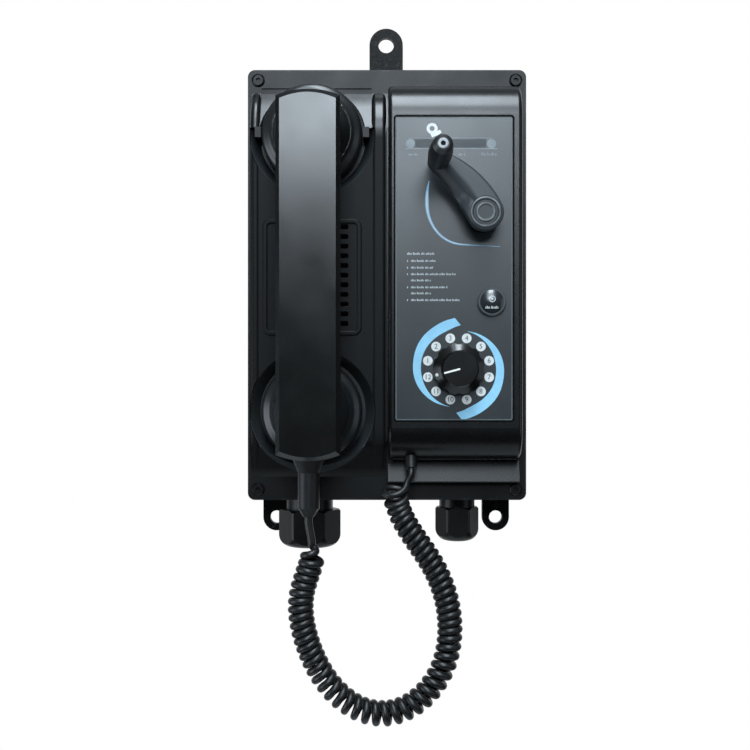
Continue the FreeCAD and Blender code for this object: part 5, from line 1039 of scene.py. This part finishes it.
def set_world():
    """White paper behind the object, seen straight on and in reflections; a dim room in front."""
    world = bpy.data.worlds.new("room")
    bpy.context.scene.world = world
    world.use_nodes = True
    tree = world.node_tree
    tree.nodes.clear()
    rays = add(tree, "LightPath").outputs
    axes = add(tree, "SeparateXYZ", {0: add(tree, "TexCoord").outputs["Generated"]}).outputs
    ceiling = add(tree, "MapRange", {0: axes[2], 1: -0.1, 2: 0.9, 3: 0.03, 4: 0.25})
    behind = add(tree, "MapRange", {0: axes[1], 1: 0.2, 2: 0.7, 3: 0.0, 4: 1.0})
    backdrop = add(tree, "MapRange", {0: axes[1], 1: 0.6, 2: 0.8, 3: 0.0, 4: 1.0})
    room = add(tree, "Mix", {0: behind, 2: ceiling, 3: 0.45})
    glossy, through = rays["Is Glossy Ray"], rays["Is Transmission Ray"]
    bounced = add(tree, "Math", {0: glossy, 1: through}, operation="MAXIMUM")
    mirrored = add(tree, "Math", {0: bounced, 1: backdrop}, operation="MULTIPLY")
    paper_seen = add(tree, "Math", {0: rays["Is Camera Ray"], 1: mirrored}, operation="MAXIMUM")
    lit = add(tree, "Background", {"Color": colour("#e8f4ff"), "Strength": room})
    paper = add(tree, "Background", {"Color": (1, 1, 1, 1), "Strength": 1.0})
    add(tree, "OutputWorld", {"Surface": add(tree, "MixShader", {0: paper_seen, 1: lit, 2: paper})})


def set_floor():
    """A pale matt floor well below, because the telephone hangs on a wall."""
    material, tree, place = new_material("pale_floor")
    mottle = add(tree, "TexNoise", {"Vector": place, "Scale": 1000 / 60.0, "Detail": 3.0})
    tint = add(tree, "Mix", {0: mottle, 6: colour("#e9e9e7"), 7: colour("#f1f1ef")}, data_type="RGBA")
    add(tree, "OutputMaterial", {
        "Surface": add(tree, "BsdfPrincipled", {"Base Color": tint.outputs[2], "Roughness": 0.8}),
    })
    bpy.ops.object.select_all(action="DESELECT")
    bpy.ops.mesh.primitive_plane_add(size=FLOOR_W, location=FLOOR_AT)
    floor = bpy.context.object
    floor.name = "floor"
    floor.data.materials.append(material)


# Put together, with the camera and the cord first
bpy.ops.object.select_all(action="DESELECT")
set_camera()

# Extruded polyurethane jacket: a satin black with one soft line of light along each curl
curly_cord(moulding("cord_polyurethane", "#0c0d0e", "#232425", 0.4, 1.5, 0.6, 0.01))

# Box and front
dress(cover_moulding(), "front_cover")
dress(cast_enamel(), "rear_case")
dress(printed_film(), "faceplate")

# Blackened steel screws and bearing: dark and oily, with a dull glint
black_steel = moulding("blackened_steel", "#0c0d0d", "#26282a", 0.36, 1.6, 0.8, 0.01, shine=0.2)
dress(black_steel, "cover_screws", "crank_bearing")

# Moulded rubber: a flat deep black that gives back little light
rubber = moulding("black_rubber", "#0b0b0c", "#1e1e1e", 0.45, 1.5, 0.4, 0.02, shine=0.4)
dress(rubber, "cradle_catches", "case_gasket", "cord_grommet", "handset_boot", "crank_seal",
      "left_gland_seal", "right_gland_seal")

# Moulded nylon glands: black with a faint waxy sheen on each flat
nylon = moulding("gland_nylon", "#090909", "#1a1a1a", 0.34, 1.53, 0.9, 0.01, shine=0.28)
for side in ("left", "right"):
    dress(nylon, side + "_gland_body", side + "_gland_nut", side + "_gland_locknut")

# Handset: a polished polycarbonate bar that mirrors the lamps, and satin heads and caps worn half matt
handset = moulding("handset_polycarbonate", "#080909", "#1a1b1c", 0.2, 1.585, 0.5, 0.004, 0.03)
caps = moulding("cap_polycarbonate", "#151718", "#26282a", 0.31, 1.585, 0.5, 0.006, 0.04)
dress(handset, "handset_handle")
dress(caps, "ear_cap", "mouth_cap")

# Crank: dull grey lacquer on the cast arm, and a phenolic grip rubbed to a dark satin
arm = moulding("crank_lacquer", "#32373a", "#43484b", 0.42, 1.5, 0.7, 0.01)
grip = moulding("grip_phenolic", "#17191a", "#2a2c2e", 0.42, 1.55, 0.8, 0.006)
dress(arm, "crank_arm")
dress(grip, "crank_grip")
dress(crank_cap_lacquer(), "crank_cap")

# Selector: a glossy pressed phenolic knob, and a pointer filled with flat white paint
dress(moulding("polished_phenolic", "#080808", "#161616", 0.22, 1.6, 0.8, 0.001, 0.02), "selector_knob")
dress(moulding("white_fill", "#f0f0ea", "#c8c8c0", 0.4, 1.5, 0.5, 0.005), "knob_pointer")

# Call button: a wet-looking acetal dome in a matt grey anodised bezel
dress(moulding("button_acetal", "#202528", "#303538", 0.21, 1.75, 0.7, 0.005), "call_button")
dress(moulding("bezel_anodising", "#43484b", "#54595c", 0.34, 1.5, 0.5, 0.005), "button_bezel")

# Bright turned steel inside, and dull nickel on the grip's screw, with painted shade inside its socket
steel = metal("turned_steel", "#c4c5c7", "#9b9da0", 0.25, 0.3)
dress(steel, "grip_pin", "crank_shaft", "rotor_shaft", "selector_shaft", "terminal_screws",
      "generator_screws", "knob_screw", "crank_screw", "selector_nut")
nickel = metal("dull_nickel", "#a9adb0", "#8f9396", 0.5, 0.3)
socket_shade = moulding("socket_painted_shade", "#121314", "#202122", 0.6, 1.45, 0.5, 0.02, shine=0.2)

# Generator: spangled zinc on its plates, grey stacked sheet, dark sintered magnet and warm turned brass
dress(metal("zinc_plated_sheet", "#b9bbbd", "#96989b", 0.32, 0.4, 0),
      "generator_front_plate", "generator_rear_plate", "generator_spacers")
dress(metal("stacked_laminations", "#8f9296", "#6d7074", 0.4, 0.5, 1), "stator_core")
dress(metal("sintered_magnet", "#6f7072", "#55575a", 0.5, 0.8), "rotor_magnet", "hook_magnet")
dress(metal("turned_brass", "#d8b777", "#b8975c", 0.25, 0.3), "rotor_bushes", "drive_gear", "pinion")
dress(winding("enamelled_copper", "#c8794a", "#5e2f18", 0.35), "stator_coils", "sounder_coil")

# Capsules: pale satin anodised cans on dull grey silicone rings
aluminium = metal("anodised_aluminium", "#c9cacc", "#b0b2b4", 0.35, 0.3)
dress(aluminium, "receiver_capsule", "transmitter_capsule")
dress(moulding("grey_silicone", "#55585a", "#6a6c6c", 0.5, 1.45, 0.5, 0.02), "capsule_gaskets")

# Board and switches: green glass-fibre board, chalky thermoset, brown phenolic and a dark amber film
dress(moulding("glass_fibre_board", "#1f5a3a", "#2c6b49", 0.4, 1.55, 0.5, 0.01), "circuit_board")
dress(moulding("pale_thermoset", "#cfccbf", "#b7b4a8", 0.45, 1.55, 0.6, 0.01), "terminal_block")
phenolic = moulding("brown_phenolic", "#4a2413", "#5d311c", 0.3, 1.6, 0.6, 0.008)
dress(phenolic, "selector_switch", "button_switch", "hook_switch", "sounder_housing")
dress(moulding("dark_polyimide_film", "#231a12", "#2c231a", 0.3, 1.6, 0.5, 0.002), "sounder_diaphragm")

# Screen-printed inks: flat, even colours that a rag has thinned in places, one of them a painted highlight on
# the film's edge; and a painted shadow in the film's groove
blue = ink("blue_ink", "#96d3f0", "#8cc8e8")
pale_blue = ink("pale_blue_ink", "#8fc0dc", "#82b6d8")
core = ink("core_ink", "#dceaf4", "#c6dcec")
white = ink("white_ink", "#e4e7e6", "#cfd3d2")
pale = ink("pale_ink", "#c6cdd0", "#b4bcbf")
faint = ink("faint_ink", "#858f94", "#707a7e")
# The film's edge is a pale painted highlight, where its cut edge catches the light
edge = ink("film_edge_highlight", "#5b6366", "#50575a")
shade = ink("shade_ink", "#34393c", "#373c3f")
dark = ink("dark_ink", "#2c3134", "#3a4043")
groove_shadow = moulding("groove_painted_shadow", "#060707", "#0e0f0f", 0.6, 1.4, 0.5, 0.01, shine=0.1)
dial_print(blue, white, dark)
crank_print(pale_blue, core, white)
plate_print(groove_shadow, edge, faint, shade, pale)
button_print(pale, white)

# Pieces with a fuller form than their nodes
grip_screw(nickel, socket_shade)
handset_shell(handset, caps)
crank_arm_shell(arm)

# Light and floor
set_world()
set_floor()
for lamp in SOFTBOXES:
    softbox(*lamp)
